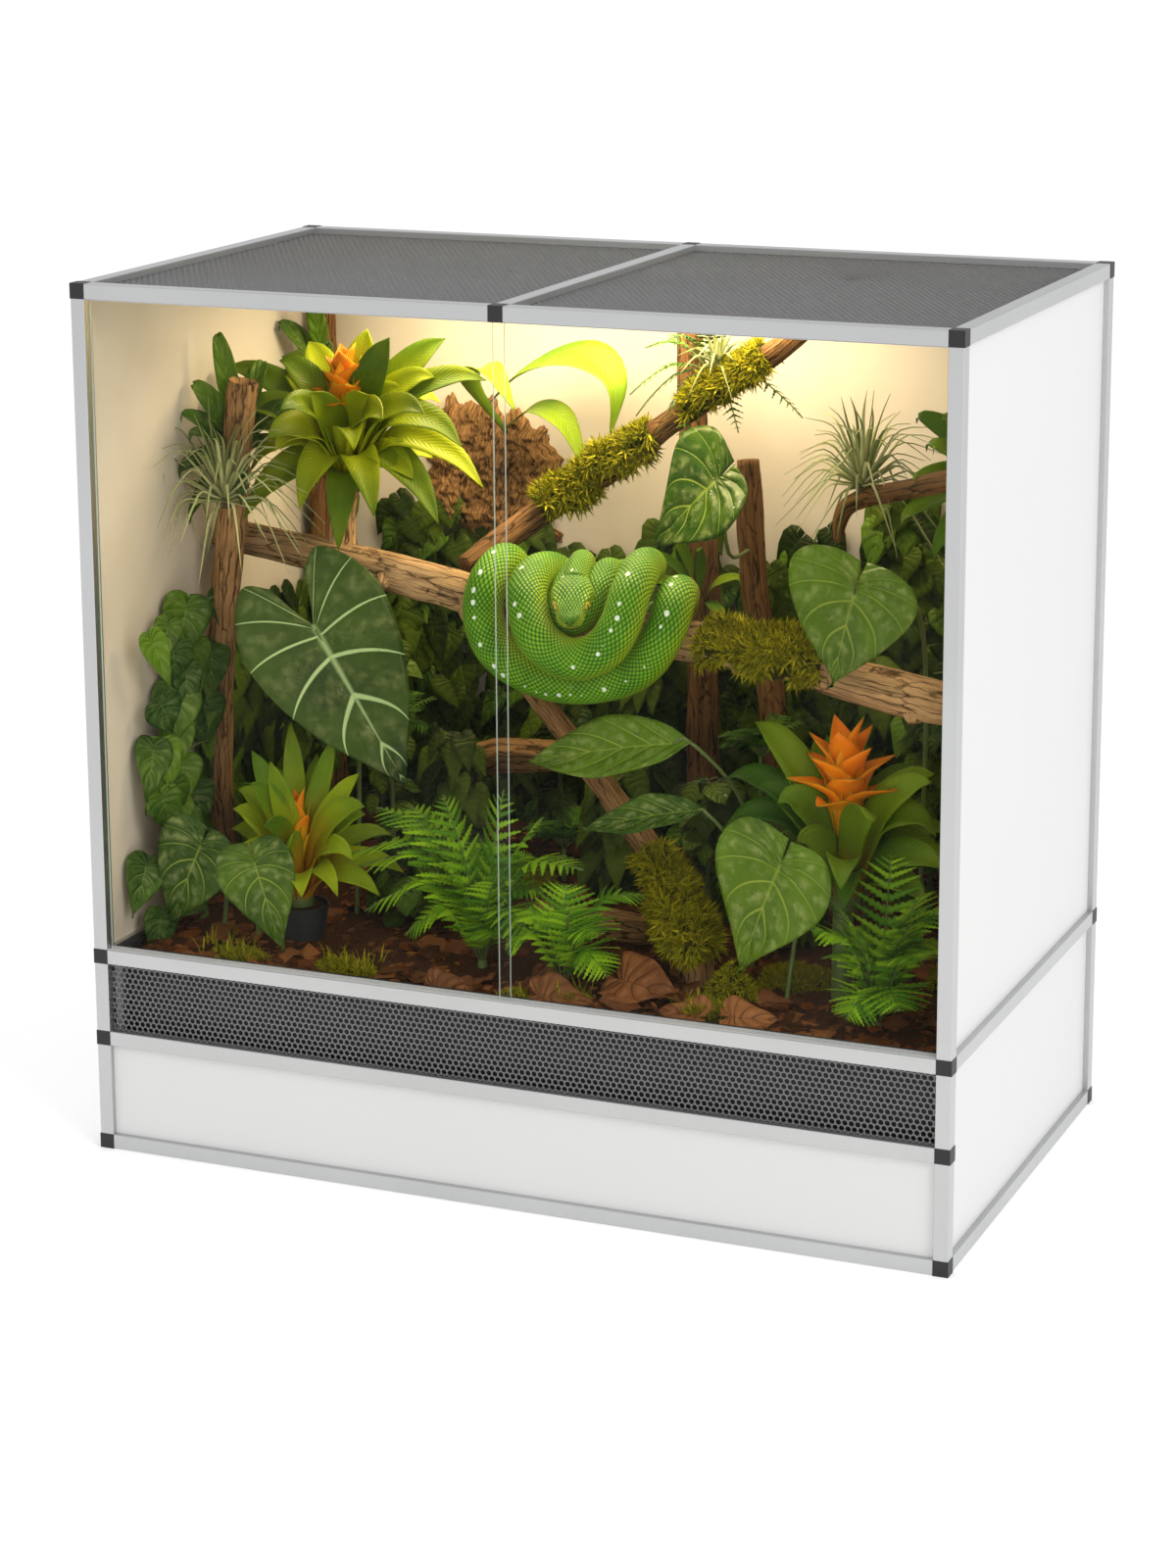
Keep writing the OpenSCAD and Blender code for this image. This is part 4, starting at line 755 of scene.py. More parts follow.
# ---- Perforated sheets ---------------------------------------------------------------
def one_opening_each_row(pitch, row, opening, thick):
    """The rims of two openings of neighbouring rows, with the walls inside them."""
    bm = bmesh.new()
    reach = pitch / math.sqrt(3)
    for centre in ((0, 0), (pitch / 2, row)):
        cell = ops.create_circle(bm, cap_ends=True, radius=reach, segments=6)["verts"]
        turn_about(bm, cell, math.pi / 6, "Z")
        move(bm, cell, (*centre, 0))
    cells = bm.faces[:]
    ops.inset_individual(bm, faces=cells, thickness=(pitch - opening) / 2)
    rims = [e for f in cells for e in f.edges]
    ops.delete(bm, geom=cells, context="FACES_ONLY")
    under = ops.duplicate(bm, geom=bm.faces[:])["geom"]
    ops.reverse_faces(bm, faces=only(BMFace, under))
    walls = ops.extrude_edge_only(bm, edges=[e for e in rims if e.is_valid])["geom"]
    move(bm, only(BMVert, under) + only(BMVert, walls), (0, 0, -thick))
    ops.remove_doubles(bm, verts=bm.verts[:], dist=0.01)
    face_outward(bm)
    return bm


def repeated(bm, steps):
    """A mesh repeated by (offset, count) rows, its touching vertices merged."""
    unit = show("unit", mesh_from(bm, "unit"))
    for step, count in steps:
        rows = unit.modifiers.new("rows", "ARRAY")
        rows.use_relative_offset = False
        rows.use_constant_offset = True
        rows.constant_offset_displace = step
        rows.count = count
        rows.use_merge_vertices = True
        rows.merge_threshold = 0.01
    bpy.context.view_layer.update()
    evaluated = unit.evaluated_get(bpy.context.evaluated_depsgraph_get())
    grown = bpy.data.meshes.new_from_object(evaluated)
    bpy.data.objects.remove(unit)
    return grown


def perforated_sheet(name, node, material, pitch, opening, stand_up=False):
    """A sheet of six-sided openings in staggered rows, as large as the CAD sheet."""
    low, high = (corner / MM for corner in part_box(node))
    size = high - low
    across, up, thick = (size.x, size.z, size.y) if stand_up else tuple(size)
    row = pitch * math.sqrt(3) / 2
    unit = one_opening_each_row(pitch, row, opening, thick)
    bm = bmesh.new()
    pour(bm, repeated(unit, (((pitch, 0, 0), int(across / pitch) + 3),
                             ((0, 2 * row, 0), int(up / row / 2) + 3))))
    move(bm, bm.verts[:], (-across / 2 - pitch * 0.6, -up / 2 - row * 0.6, thick / 2))
    for axis, limit in ((vec(1, 0, 0), across / 2), (vec(0, 1, 0), up / 2)):
        for outward in (-axis, axis):
            cut_off(bm, outward, limit)
    if stand_up:
        turn_about(bm, bm.verts[:], math.pi / 2, "X")
    move(bm, bm.verts[:], (low + high) / 2)
    piece(name, bm, [material], (node,))


perforated_sheet("roof_mesh_left", "top_mesh_left", ROOF_MESH, 9.0, 7.0)
perforated_sheet("roof_mesh_right", "top_mesh_right", ROOF_MESH, 9.0, 7.0)
perforated_sheet("vent_mesh", "front_vent_mesh", VENT_MESH, 8.5, 6.8, stand_up=True)


# ---- The room and its ground ---------------------------------------------------------
BACK_WALL = 327.5
# How far pieces may reach towards the boards, the roof and the doors.
ROOM = ((vec(1, 0, 0), 587.2), (vec(-1, 0, 0), 587.2), (vec(0, 1, 0), 327.2), (vec(0, -1, 0), 320),
        (UP, 1168.2))
SOIL_X = 574
SOIL_FRONT = -291
SOIL_DEPTH = 605


def keep_in_room(bm):
    """Cuts off what would reach into the boards, the roof or the doors."""
    for axis, limit in ROOM:
        if any(v.co.dot(axis) > limit for v in bm.verts):
            cut_off(bm, axis, limit)


def soil_height(y):
    """The soil rises from the front to the back."""
    return 262.0 + 60 * (min(y, 314.5) + 291.5) / 606


def ground(x, y, lift=0.0):
    return vec(x, y, soil_height(y) + lift)


def lumps(x, y):
    where = vec(x / 60, y / 60, 3.0)
    return 7 * noise.noise(where) + 4 * noise.noise(where * 3.1) + 2.4 * noise.noise(where * 9)


def outward(turn, squash=1.0, rise=0.0):
    """A direction turned about the upright."""
    return vec(cos(turn), squash * sin(turn), rise)


def close_behind(bm, place):
    """Gives an open sheet sides, whose far vertices place moves, and a back."""
    made = ops.extrude_edge_only(bm, edges=rim_of(bm))["geom"]
    place(only(BMVert, made))
    ops.holes_fill(bm, edges=rim_of(bm))
    set_slot(bm.faces, 0)
    face_outward(bm)


def build_soil():
    """The crumbly top of the soil, let a little way into the bed below it."""
    bm = new_piece()
    _, shares = sheet_grid(bm, 150, 80)
    for v, u, t in shares:
        x, y = -SOIL_X + 2 * SOIL_X * u, SOIL_FRONT + SOIL_DEPTH * t
        edge = min(1, min(u, 1 - u, t, 1 - t) * 14)
        v.co = ground(x, y, 1.0 + edge * (2.5 + lumps(x, y)))
    close_behind(bm, lambda verts: move(bm, verts, (0, 0, -9)))
    piece("soil_top", bm, [SOIL])


def chip_model():
    bm = new_piece()
    for k, v in enumerate(ops.create_cube(bm, size=1)["verts"]):
        v.co += 0.22 * vec(sin(k * 5.1), sin(k * 3.3 + 1), sin(k * 7.7 + 2))
    return mesh_from(bm, "chip")


CHIPS = 2200
STRAY_LEAVES = 46
# Dry leaves as (x, y, length, turn); the curled ones also have their height.
DRY_LEAVES = [(130, -268, 56, 20), (170, -226, 64, -35), (305, -262, 46, 10), (118, -190, 58, 75),
              (-150, -262, 52, -20), (-470, -280, 44, 10), (250, -40, 66, 40), (-60, 60, 58, 120),
              (380, 60, 64, 15), (90, 30, 60, -60)]
CURLED_LEAVES = [(166, -236, 98, -18, 22), (66, -278, 74, 8, 14), (214, -276, 66, 165, 12),
                 (24, -250, 62, -35, 14), (318, -262, 64, 20, 12), (-92, -284, 58, 12, 10)]


def build_litter():
    """Bark chips and crumbs over the soil, and dry leaves that curl up from it."""
    dice = random.Random(7)
    pick = dice.uniform
    chip = chip_model()
    bm = new_piece()
    for k in range(CHIPS):
        x, y = pick(-570, 570), -289 + 560 * dice.random() ** 1.6
        size = pick(3, 9) if k % 7 else pick(9, 20)
        turn = Matrix.Rotation(pick(0, tau), 4, "Z") @ Matrix.Rotation(pick(-0.5, 0.5), 4, "X")
        shape = Matrix.Diagonal((size * pick(1.2, 2.4), size, size * 0.45, 1))
        place = Matrix.Translation(ground(x, y, 3 + lumps(x, y) * 0.9))
        copy_in(bm, chip, place @ turn @ shape)
    colours = [(0.02, 0.007, 0.003), (0.09, 0.026, 0.007), (0.20, 0.06, 0.014),
               (0.045, 0.014, 0.005), (0.32, 0.12, 0.03), (0.03, 0.011, 0.005)]
    piece("bark_chips", bm, [scatter_finish("bark_chips", colours)])

    bm = new_piece()
    spots = DRY_LEAVES + [(pick(-520, 540), pick(-280, 120), pick(36, 62), pick(0, 360))
                          for _ in range(STRAY_LEAVES)]
    for x, y, length, turn in spots:
        ahead = outward(math.radians(turn), rise=pick(-0.15, 0.25))
        centre = ground(x, y, 9 + lumps(x, y) * 0.6)
        half = ahead.normalized() * length * 0.62
        leaf(bm, LANCE, centre - half, centre + half, (pick(-0.5, 0.5), pick(-0.7, 0.3), 1),
             length * 0.66, fold=pick(-0.2, 0.55), droop=pick(-0.3, 0.5), wave=0.09, across=6,
             along=10, thickness=0.7, seed=x)
    for x, y, length, turn, rise in CURLED_LEAVES:
        half = outward(math.radians(turn)) * length / 2
        centre = ground(x, y, rise)
        leaf(bm, HEART, centre - half, centre + half, (0.1, -0.55, 0.8), length * 0.86, fold=0.30,
             droop=0.10, wave=0.075, quilt=0.04, seed=x, index=1)
    dry = leaf_finish("dry_leaf", (0.24, 0.085, 0.025), (0.07, 0.022, 0.008), (0.35, 0.16, 0.06),
                      count=9.0, width=0.06, show=0.4, roughness=0.7)
    # The curled leaves carry painted highlights: pale gloss between their veins.
    curled = leaf_finish(
        "curled_brown_leaf", (0.32, 0.115, 0.032), (0.13, 0.042, 0.014), (0.07, 0.024, 0.010),
        slant=1.4, width=0.08, rib=0.06, show=0.9, roughness=0.42, relief=0.003,
        highlight_colour=(0.48, 0.22, 0.09), highlight_strength=0.5)
    piece("dry_leaves", bm, [dry, curled])


# ---- Wood ----------------------------------------------------------------------------
# Limbs as (x, y, z, radius).
PERCH = [(-587, 20, 786, 23), (-520, 10, 780, 23), (-375, -20, 770, 24.5), (-245, -40, 755, 27),
         (-110, -60, 736, 25.5), (20, -70, 722, 27), (150, -80, 716, 27), (290, -90, 705, 26),
         (400, -100, 685, 28), (505, -110, 672, 29), (587, -118, 664, 26)]
FORK_TOP = vec(-385, 20, 860)
FORK = [(-375, -20, 770, 19), (-386, 4, 825, 17), (*FORK_TOP, 15)]
DIAGONAL = [(-196, -8, 770, 18), (-130, 80, 832, 19), (-48, 120, 890, 20), (42, 128, 958, 17),
            (130, 120, 1020, 16.5), (216, 112, 1080, 15.5), (313, 112, 1164, 13)]
DIAGONAL_FORK = [(-130, 80, 832, 11), (-152, 145, 842, 9.5), (-175, 210, 850, 6)]
LEFT_TRUNK = [(-547, -50, 250, 23), (-556, -50, 369, 19), (-558, -50, 497, 18),
              (-550, -50, 638, 19), (-534, -50, 779, 20), (-517, -50, 930, 20),
              (-505, -50, 1014, 21)]
TRUNK_HOLLOW = [(-505, -50, 1014, 20.5), (-506, -50, 1010, 13), (-508, -50, 985, 11),
                (-509, -50, 975, 1)]
CORNER_TRUNK = [(-540, 262, 285, 24), (-543, 265, 500, 20), (-548, 272, 716, 20),
                (-555, 285, 829, 22), (-558, 290, 944, 21), (-556, 294, 1080, 18)]
TALL_TRUNK = [(64, 215, 280, 26), (60, 222, 491, 22), (58, 230, 658, 22), (52, 235, 769, 23),
              (38, 240, 931, 20), (32, 242, 1090, 18)]
SHORT_TRUNK = [(196, 180, 275, 22), (178, 190, 538, 19), (155, 190, 675, 18), (142, 192, 783, 18),
               (134, 200, 905, 15)]
GROUND_BRANCH = [(-168, 8, 712, 13), (-114, 0, 622, 14), (-48, -20, 560, 15), (21, -50, 500, 16),
                 (83, -80, 446, 18), (143, -110, 387, 19), (186, -145, 321, 25),
                 (200, -155, 250, 21)]
LOG_BACK = [(-330, 150, 286, 21), (-290, 168, 420, 21), (-240, 178, 456, 23), (-130, 172, 468, 22),
            (-10, 180, 480, 19)]
LOG_FRONT = [(-70, -62, 307, 19), (10, -60, 307, 23), (90, -58, 307, 20)]
SHORT_BRANCH = [(586, -165, 985, 14), (500, -110, 953, 13), (436, -60, 930, 12.5),
                (364, 0, 903, 12.5), (332, 18, 880, 10.5), (322, 24, 840, 6.5)]
# Knots of the perch as (x, turn, size).
KNOTS = ((-300, 200, 9), (-170, 250, 11), (230, 230, 10), (345, 80, 9), (470, 250, 12))


def knot(x, turn, size):
    """A low knot on the perch: its path, and how it is made."""
    near = min(PERCH, key=lambda p: abs(p[0] - x))
    centre = Vector(near[:3]) + vec(x - near[0], 0, -0.1 * (x - near[0]))
    out = vec(0.2, cos(math.radians(turn)), sin(math.radians(turn)))
    path = [(*(centre + out * reach), size * share)
            for reach, share in ((16, 1.3), (27, 1), (33, 0.7))]
    return path, dict(sides=12, step=4, rough=0.15, seed=x)


def build_wood():
    """Barked limbs, each with its knots and ridges."""
    bleached = bark_finish("bleached_wood", (0.68, 0.41, 0.17), (0.08, 0.032, 0.009), relief=0.006)
    rough = bark_finish("rough_bark", (0.27, 0.125, 0.04), (0.018, 0.008, 0.003), relief=0.007)
    cut = bark_finish("weathered_wood", (0.42, 0.22, 0.08), (0.035, 0.015, 0.005), relief=0.006)

    def standing(path, seed):
        return path, dict(sides=24, step=7, rough=0.17, seed=seed)

    def fallen(path, seed):
        return path, dict(sides=22, step=7, rough=0.2, seed=seed)

    for name, finish, node, slot, limbs in (
            ("main_perch", bleached, "perch_branch", "bark",
             [(PERCH, dict(sides=30, step=6, rough=0.10, seed=1.0)),
              (FORK, dict(sides=16, step=6, rough=0.10, seed=2.0))] + [knot(*k) for k in KNOTS]),
            ("slanting_branch", rough, "diagonal_branch", "bark",
             [(DIAGONAL, dict(sides=24, step=6, rough=0.15, seed=3.0)),
              (DIAGONAL_FORK, dict(sides=12, step=6, rough=0.15, seed=4.0))]),
            ("hollow_trunk", cut, "left_trunk", "pale_wood",
             [(LEFT_TRUNK, dict(sides=26, step=7, rough=0.16, seed=5.0, ends=False)),
              (TRUNK_HOLLOW, dict(sides=26, step=5, rough=0.12, seed=5.0, ends=False))]),
            ("corner_wood", rough, "corner_trunk", "bark", [standing(CORNER_TRUNK, 6.0)]),
            ("standing_wood", rough, "right_trunks", "bark",
             [standing(TALL_TRUNK, 7.0), standing(SHORT_TRUNK, 8.0)]),
            ("sloping_wood", cut, "ground_branch", "bark", [standing(GROUND_BRANCH, 9.0)]),
            ("short_wood", rough, "short_branch", "bark", [standing(SHORT_BRANCH, 10.0)]),
            ("mossy_logs", cut, "fallen_logs", "pale_wood",
             [fallen(LOG_BACK, 11.0), fallen(LOG_FRONT, 12.0)])):
        bm = new_piece()
        for path, options in limbs:
            limb(bm, path, **options)
        keep_in_room(bm)
        piece(name, bm, [finish], (node,))


def build_cork():
    """A cork slab on the back wall: deep cracks over a curved sheet."""
    def bumps(*place):
        return noise.noise(vec(*place))

    def onto_wall(verts):
        for v in verts:
            v.co.y = BACK_WALL - 0.4

    bm = new_piece()
    _, shares = sheet_grid(bm, 100, 110)
    low, high = (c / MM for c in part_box("cork_bark"))
    for v, u, t in shares:
        # Broken edges all round: a ragged top that falls to the right, and sides that wander.
        top = high.z - 4 - 95 * max(0, u - 0.5) ** 1.2 - 45 * max(0, 0.3 - u)
        top += 22 * bumps(u * 9, 0, 4)
        top += 9 * bumps(u * 34, 0, 4) - 9
        bottom = low.z + 14 + 12 * bumps(u * 11, 0, 9)
        z = bottom + (top - bottom) * t
        inset = 26 + 22 * bumps(z / 38, 3, 1) + 8 * bumps(z / 11, 3, 1)
        x = low.x + inset * (1 - u) + (high.x - low.x - inset) * u - inset * u * 0.4
        crack = bumps(x / 30, z / 62, 2) + 0.7 * bumps(x / 12, z / 20, 5)
        crack += 0.5 * bumps(x / 5, z / 7, 8)
        body = (1 - abs(2 * u - 1) ** 5) * (1 - abs(2 * t - 1) ** 8)
        v.co = vec(x, BACK_WALL - 1 - body * (24 + 15 * crack), z)
    face_outward(bm)
    close_behind(bm, onto_wall)
    cork = bark_finish("cork", (0.58, 0.30, 0.10), (0.06, 0.022, 0.006), grain=0.5, relief=0.012)
    piece("cork_slab", bm, [cork], ("cork_bark",))


# ---- Moss ----------------------------------------------------------------------------
def tuft_model():
    bm = new_piece()
    for k in range(7):
        spike = ops.create_cone(bm, segments=3, radius1=0.13, radius2=0.0, depth=1.0)["verts"]
        move(bm, spike, (0, 0, 0.5))
        lean = Matrix.Rotation(k * 2.4, 3, "Z") @ Matrix.Rotation(0.25 + 0.12 * k, 3, "X")
        ops.rotate(bm, verts=spike, cent=(0, 0, 0), matrix=lean)
    return mesh_from(bm, "tuft")


def strew(bm, mesh, dice, faces, count, low, high, upright=0.4):
    """Copies of a model on so many places of a surface's faces, standing on it."""
    spots = []
    for f in dice.choices(faces, [f.calc_area() for f in faces], k=count):
        a, b = dice.random(), dice.random()
        corners = [v.co for v in f.verts]
        spot = corners[0].lerp(corners[1], a).lerp(corners[-1].lerp(corners[-2], a), b)
        spots.append((spot.copy(), f.normal.copy()))
    for spot, normal in spots:
        stray = Vector([dice.uniform(-0.35, 0.35) for _ in range(3)])
        z = (normal * (1 - upright) + UP * upright + stray).normalized()
        x = z.orthogonal().normalized()
        size = Matrix.Scale(dice.uniform(low, high), 4)
        turn = Matrix.Rotation(dice.uniform(0, tau), 4, "Z")
        copy_in(bm, mesh, axes(x, z.cross(x), z, spot) @ (turn @ size))


@apart
def moss_sleeve(bm, dice, tuft, points, tufts, length, cover=-0.35):
    """Moss on the upper side of a stretch of limb, with strands that hang at its sides."""
    limb(bm, points, sides=16, step=7, rough=0.55, seed=dice.uniform(0, 50), index=1)
    bm.normal_update()
    faces = [f for f in bm.faces if f.normal.z > cover and len(f.verts) == 4]
    strew(bm, tuft, dice, faces, tufts, length * 0.5, length)
    strew(bm, tuft, dice, faces, tufts // 5, length, length * 1.7, upright=0.1)
    sides = [f for f in bm.faces if abs(f.normal.z) < 0.5 and len(f.verts) == 4]
    strew(bm, tuft, dice, sides, tufts // 6, length * 0.8, length * 1.9, upright=-0.8)


def stretch_of(path, first, last, share0, share1, grow):
    """A limb's stretch between shares of two of its spans, a little thicker and lifted."""
    rows = np.array(path, float)
    start = rows[first] + (rows[first + 1] - rows[first]) * share0
    end = rows[last] + (rows[last + 1] - rows[last]) * share1
    rows = [start, *rows[first + 1:last + 1], end]
    return [(x, y - 3, z + grow * 0.5, (r + grow * 0.45) * (0.8 if k in (0, len(rows) - 1) else 1))
            for k, (x, y, z, r) in enumerate(rows)]


# Cushions as (x, y, half widths, height), and where grass stands.
CUSHIONS = [(246, -258, 34, 22, 26), (-262, -262, 40, 20, 18), (-10, -278, 26, 8, 14),
            (520, -60, 34, 40, 22), (-158, 82, 50, 38, 24), (60, -262, 30, 20, 14),
            (-420, -262, 44, 18, 14), (330, -120, 60, 40, 20), (266, -212, 30, 22, 58)]
BLADES = 40
GRASS_SPOTS = ((246, -262), (262, -240), (-262, -258), (520, -60), (40, -265), (-440, -262))


def build_moss():
    dice = random.Random(21)
    pick = dice.uniform
    tuft = tuft_model()
    moss = scatter_finish("moss", [
        (0.10, 0.11, 0.004), (0.24, 0.23, 0.006), (0.42, 0.37, 0.01), (0.05, 0.06, 0.004),
        (0.55, 0.45, 0.02), (0.16, 0.17, 0.005)], 0.9)
    # The mat under the tufts is dark: the lower moss's own colour, with painted shade between the
    # tufts.
    under_moss = scatter_finish("moss_mat", [(0.05, 0.05, 0.004), (0.035, 0.03, 0.004)], 0.95)
    bm = new_piece()
    moss_sleeve(bm, dice, tuft, stretch_of(PERCH, 6, 7, 0.2, 0.55, 9), 1100, 13)
    moss_sleeve(bm, dice, tuft, stretch_of(DIAGONAL, 1, 2, 0.1, 0.8, 9), 1100, 14)
    moss_sleeve(bm, dice, tuft, stretch_of(DIAGONAL, 3, 4, 0.35, 0.7, 9), 800, 12)
    moss_sleeve(bm, dice, tuft, stretch_of(GROUND_BRANCH, 4, 6, 0.4, 0.1, 11), 1200, 14, cover=-2)
    piece("branch_moss_tufts", bm, [moss, under_moss], ("branch_moss",))

    bm = new_piece()
    for x, y, half_x, half_y, height in CUSHIONS:
        verts = ops.create_icosphere(bm, subdivisions=3, radius=1)["verts"]
        for v in verts:
            lump = 1 + 0.3 * noise.noise(v.co * 2.2 + vec(x, y, 0))
            v.co = ground(x, y, -4) + vec(
                v.co.x * half_x * lump, v.co.y * half_y * lump, v.co.z * height * lump)
        faces = faces_of(verts)
        set_slot(faces, 1)
        bm.normal_update()
        upper = [f for f in faces if f.normal.z > 0.1]
        strew(bm, tuft, dice, upper, int(half_x * half_y * 0.36), 7, 13)
    for x, y in GRASS_SPOTS:
        for _ in range(BLADES):
            root = ground(x + pick(-40, 40), y + pick(-14, 30))
            tip = root + vec(pick(-14, 14), pick(-10, 8), pick(14, 40))
            strap(bm, [root, (root + tip) / 2 + UP * 6, tip], 3.0, GRASS, across=2, along=3,
                  thickness=0.4)
    piece("ground_moss", bm, [moss, under_moss], ("ground_cover",))


build_soil()
build_litter()
build_wood()
build_cork()
build_moss()


# ---- Leaf finishes -------------------------------------------------------------------
# Dark, arrow and climbing leaves carry painted highlights: pale gloss in patches between the veins.
DARK_LEAF = leaf_finish(
    "dark_leaf", (0.10, 0.185, 0.008), (0.020, 0.060, 0.005), (0.36, 0.44, 0.06), slant=1.6,
    width=0.06, rib=0.06, show=0.6, roughness=0.24, relief=0.003, drops=0.4,
    highlight_colour=(0.52, 0.56, 0.18), highlight_strength=0.36, patch=0.17)
ARROW_LEAF = leaf_finish(
    "arrow_leaf", (0.045, 0.085, 0.012), (0.010, 0.032, 0.006), (0.46, 0.60, 0.24), slant=0.9,
    width=0.07, rib=0.08, show=0.9, roughness=0.24, relief=0.003, drops=0.3,
    highlight_colour=(0.34, 0.36, 0.12), highlight_strength=0.32)
CLIMBER_LEAF = leaf_finish(
    "climbing_leaf", (0.085, 0.17, 0.006), (0.012, 0.045, 0.004), (0.26, 0.40, 0.07), slant=1.4,
    show=0.5, roughness=0.28, drops=0.2, highlight_colour=(0.36, 0.46, 0.12), highlight_strength=0.3)
LIME_LEAF = leaf_finish(
    "lime_leaf", (0.22, 0.32, 0.012), (0.075, 0.17, 0.008), (0.5, 0.56, 0.06), count=26.0,
    slant=3.0, rib=0.06, roughness=0.34, relief=0.0008)
# Leaves at the back get much darker greens than those in front: painted shade.
LEAF_IN_PAINTED_SHADE = leaf_finish(
    "leaf_in_painted_shade", (0.065, 0.105, 0.005), (0.009, 0.022, 0.002), (0.12, 0.18, 0.02), count=8.0,
    slant=0.8, show=0.4, roughness=0.4, relief=0.0015)
AIR_LEAF = leaf_finish(
    "air_plant_leaf", (0.55, 0.55, 0.24), (0.20, 0.24, 0.07), (0.6, 0.6, 0.34), count=40.0,
    slant=0.0, width=0.02, rib=0.02, show=0.2, roughness=0.6, relief=0.0003)
# The back ferns have the front ferns' leaf made darker: painted shade.
FERN_LEAF, FERN_IN_PAINTED_SHADE = (
    leaf_finish(name, young, old, vein, slant=0.3, width=0.03, rib=0.08, roughness=roughness,
                relief=0.0006)
    for name, young, old, vein, roughness in (
        ("fern_leaf", (0.27, 0.48, 0.010), (0.065, 0.19, 0.005), (0.3, 0.5, 0.05), 0.45),
        ("fern_in_painted_shade", (0.07, 0.17, 0.007), (0.012, 0.05, 0.004), (0.1, 0.22, 0.03), 0.5)))
STALK = plain_finish("leaf_stalk", (0.12, 0.17, 0.03), 0.5, scale=200.0, shade=0.35)
BROWN_STALK = plain_finish("brown_stem", (0.10, 0.055, 0.02), 0.7, scale=200.0, shade=0.35)


def flushed_leaf(name, young, old, flush, full, none):
    """A strap leaf flushed with another colour, from none to full of it along its length."""
    material = leaf_finish(name, young, old, (0.6, 0.62, 0.2), count=30.0, slant=4.0, width=0.03,
                           rib=0.03, show=0.12, roughness=0.3, relief=0.0006)
    shader, colour = base_of(material)
    along = leaf_places(material.node_tree)[1]
    feed(shader, Base_Color=blend(smooth(along, none, full), colour, flush))
    return material


BROMELIAD_LEAF, LOW_LEAF, ORANGE_LEAF, YELLOW_CUP, TWO_TONE_LEAF = (flushed_leaf(*row) for row in (
    ("bromeliad_leaf", (0.34, 0.38, 0.005), (0.06, 0.125, 0.003), (0.44, 0.40, 0.008), 0.0, 0.4),
    ("ground_bromeliad_leaf", (0.14, 0.22, 0.006), (0.03, 0.09, 0.004), (0.40, 0.20, 0.008), 0.0,
     0.35),
    ("bromeliad_cup", (0.90, 0.52, 0.010), (0.85, 0.32, 0.006), (0.90, 0.22, 0.005), 1.0, 0.3),
    ("bromeliad_heart", (0.70, 0.50, 0.01), (0.45, 0.44, 0.01), (0.80, 0.20, 0.006), 1.0, 0.25),
    ("bromeliad_low_leaf", (0.26, 0.33, 0.006), (0.08, 0.16, 0.005), (0.62, 0.25, 0.008), 0.0,
     0.65)))


# ---- Plants --------------------------------------------------------------------------
# Leaves turn their upper side to the lamp and the open front.
SHOWN_SIDE = (0.25, -0.62, 0.75)
# The angle between one leaf and the next round a heart, in radians.
NEXT_LEAF = 2.4


def aloft(turn, lift, squash):
    """A direction turned about the upright and lifted."""
    return vec(cos(turn) * cos(lift), squash * sin(turn) * cos(lift), sin(lift))


def rosette(bm, dice, base, leaves, width, extra, cup, cup_height, spread=0.5, cup_width=0.85):
    """Strap leaves round a heart: given (tip, rise) ones, more between them, a bright cup."""
    heart = ((-16, width * 0.45), (0, width * 0.55), (18, width * 0.35))
    stump(bm, base, UP, heart, 10, 8, index=2)
    shapes = [(Vector(tip), rise) for tip, rise in leaves]
    longest = max(tip.length for tip, _ in shapes)
    for k in range(extra):
        turn = k * NEXT_LEAF + dice.uniform(-0.3, 0.3)
        lift = dice.uniform(0.1, 1.1)
        reach = longest * dice.uniform(0.5, 0.85)
        shapes.append((aloft(turn, lift, 0.75) * reach, reach * 0.3))
    for tip, rise in shapes:
        flat = vec(tip.x, tip.y, 0)
        crest = base + flat * 0.45 + UP * (tip.z * 0.5 + rise * 0.7)
        start = base + flat.normalized() * width * 0.18 if flat.length > 1 else base
        end = base + tip
        mid = start.lerp(crest, 0.5) + UP * rise * 0.12
        late = crest.lerp(end, 0.6) + UP * rise * 0.18
        strap(bm, [start, mid, crest, late, end], width * dice.uniform(0.85, 1.05), BROMELIAD_STRAP,
              channel=0.4, thickness=1.0, facing=SHOWN_SIDE)
    for k in range(cup):
        lean = 0.10 + 0.46 * k / cup
        reach = cup_height * (1 - 0.35 * k / cup)
        out = outward(k * NEXT_LEAF)
        tip = base + out * reach * sin(lean) * spread * 2 + UP * reach * cos(lean)
        strap(bm, [base + UP * 30, base + out * reach * 0.04 + UP * reach * 0.42,
                   base + out * reach * 0.3 * sin(lean) + UP * reach * 0.75, tip],
              width * cup_width, BRACT, channel=0.5, along=10, thickness=0.9, index=1)


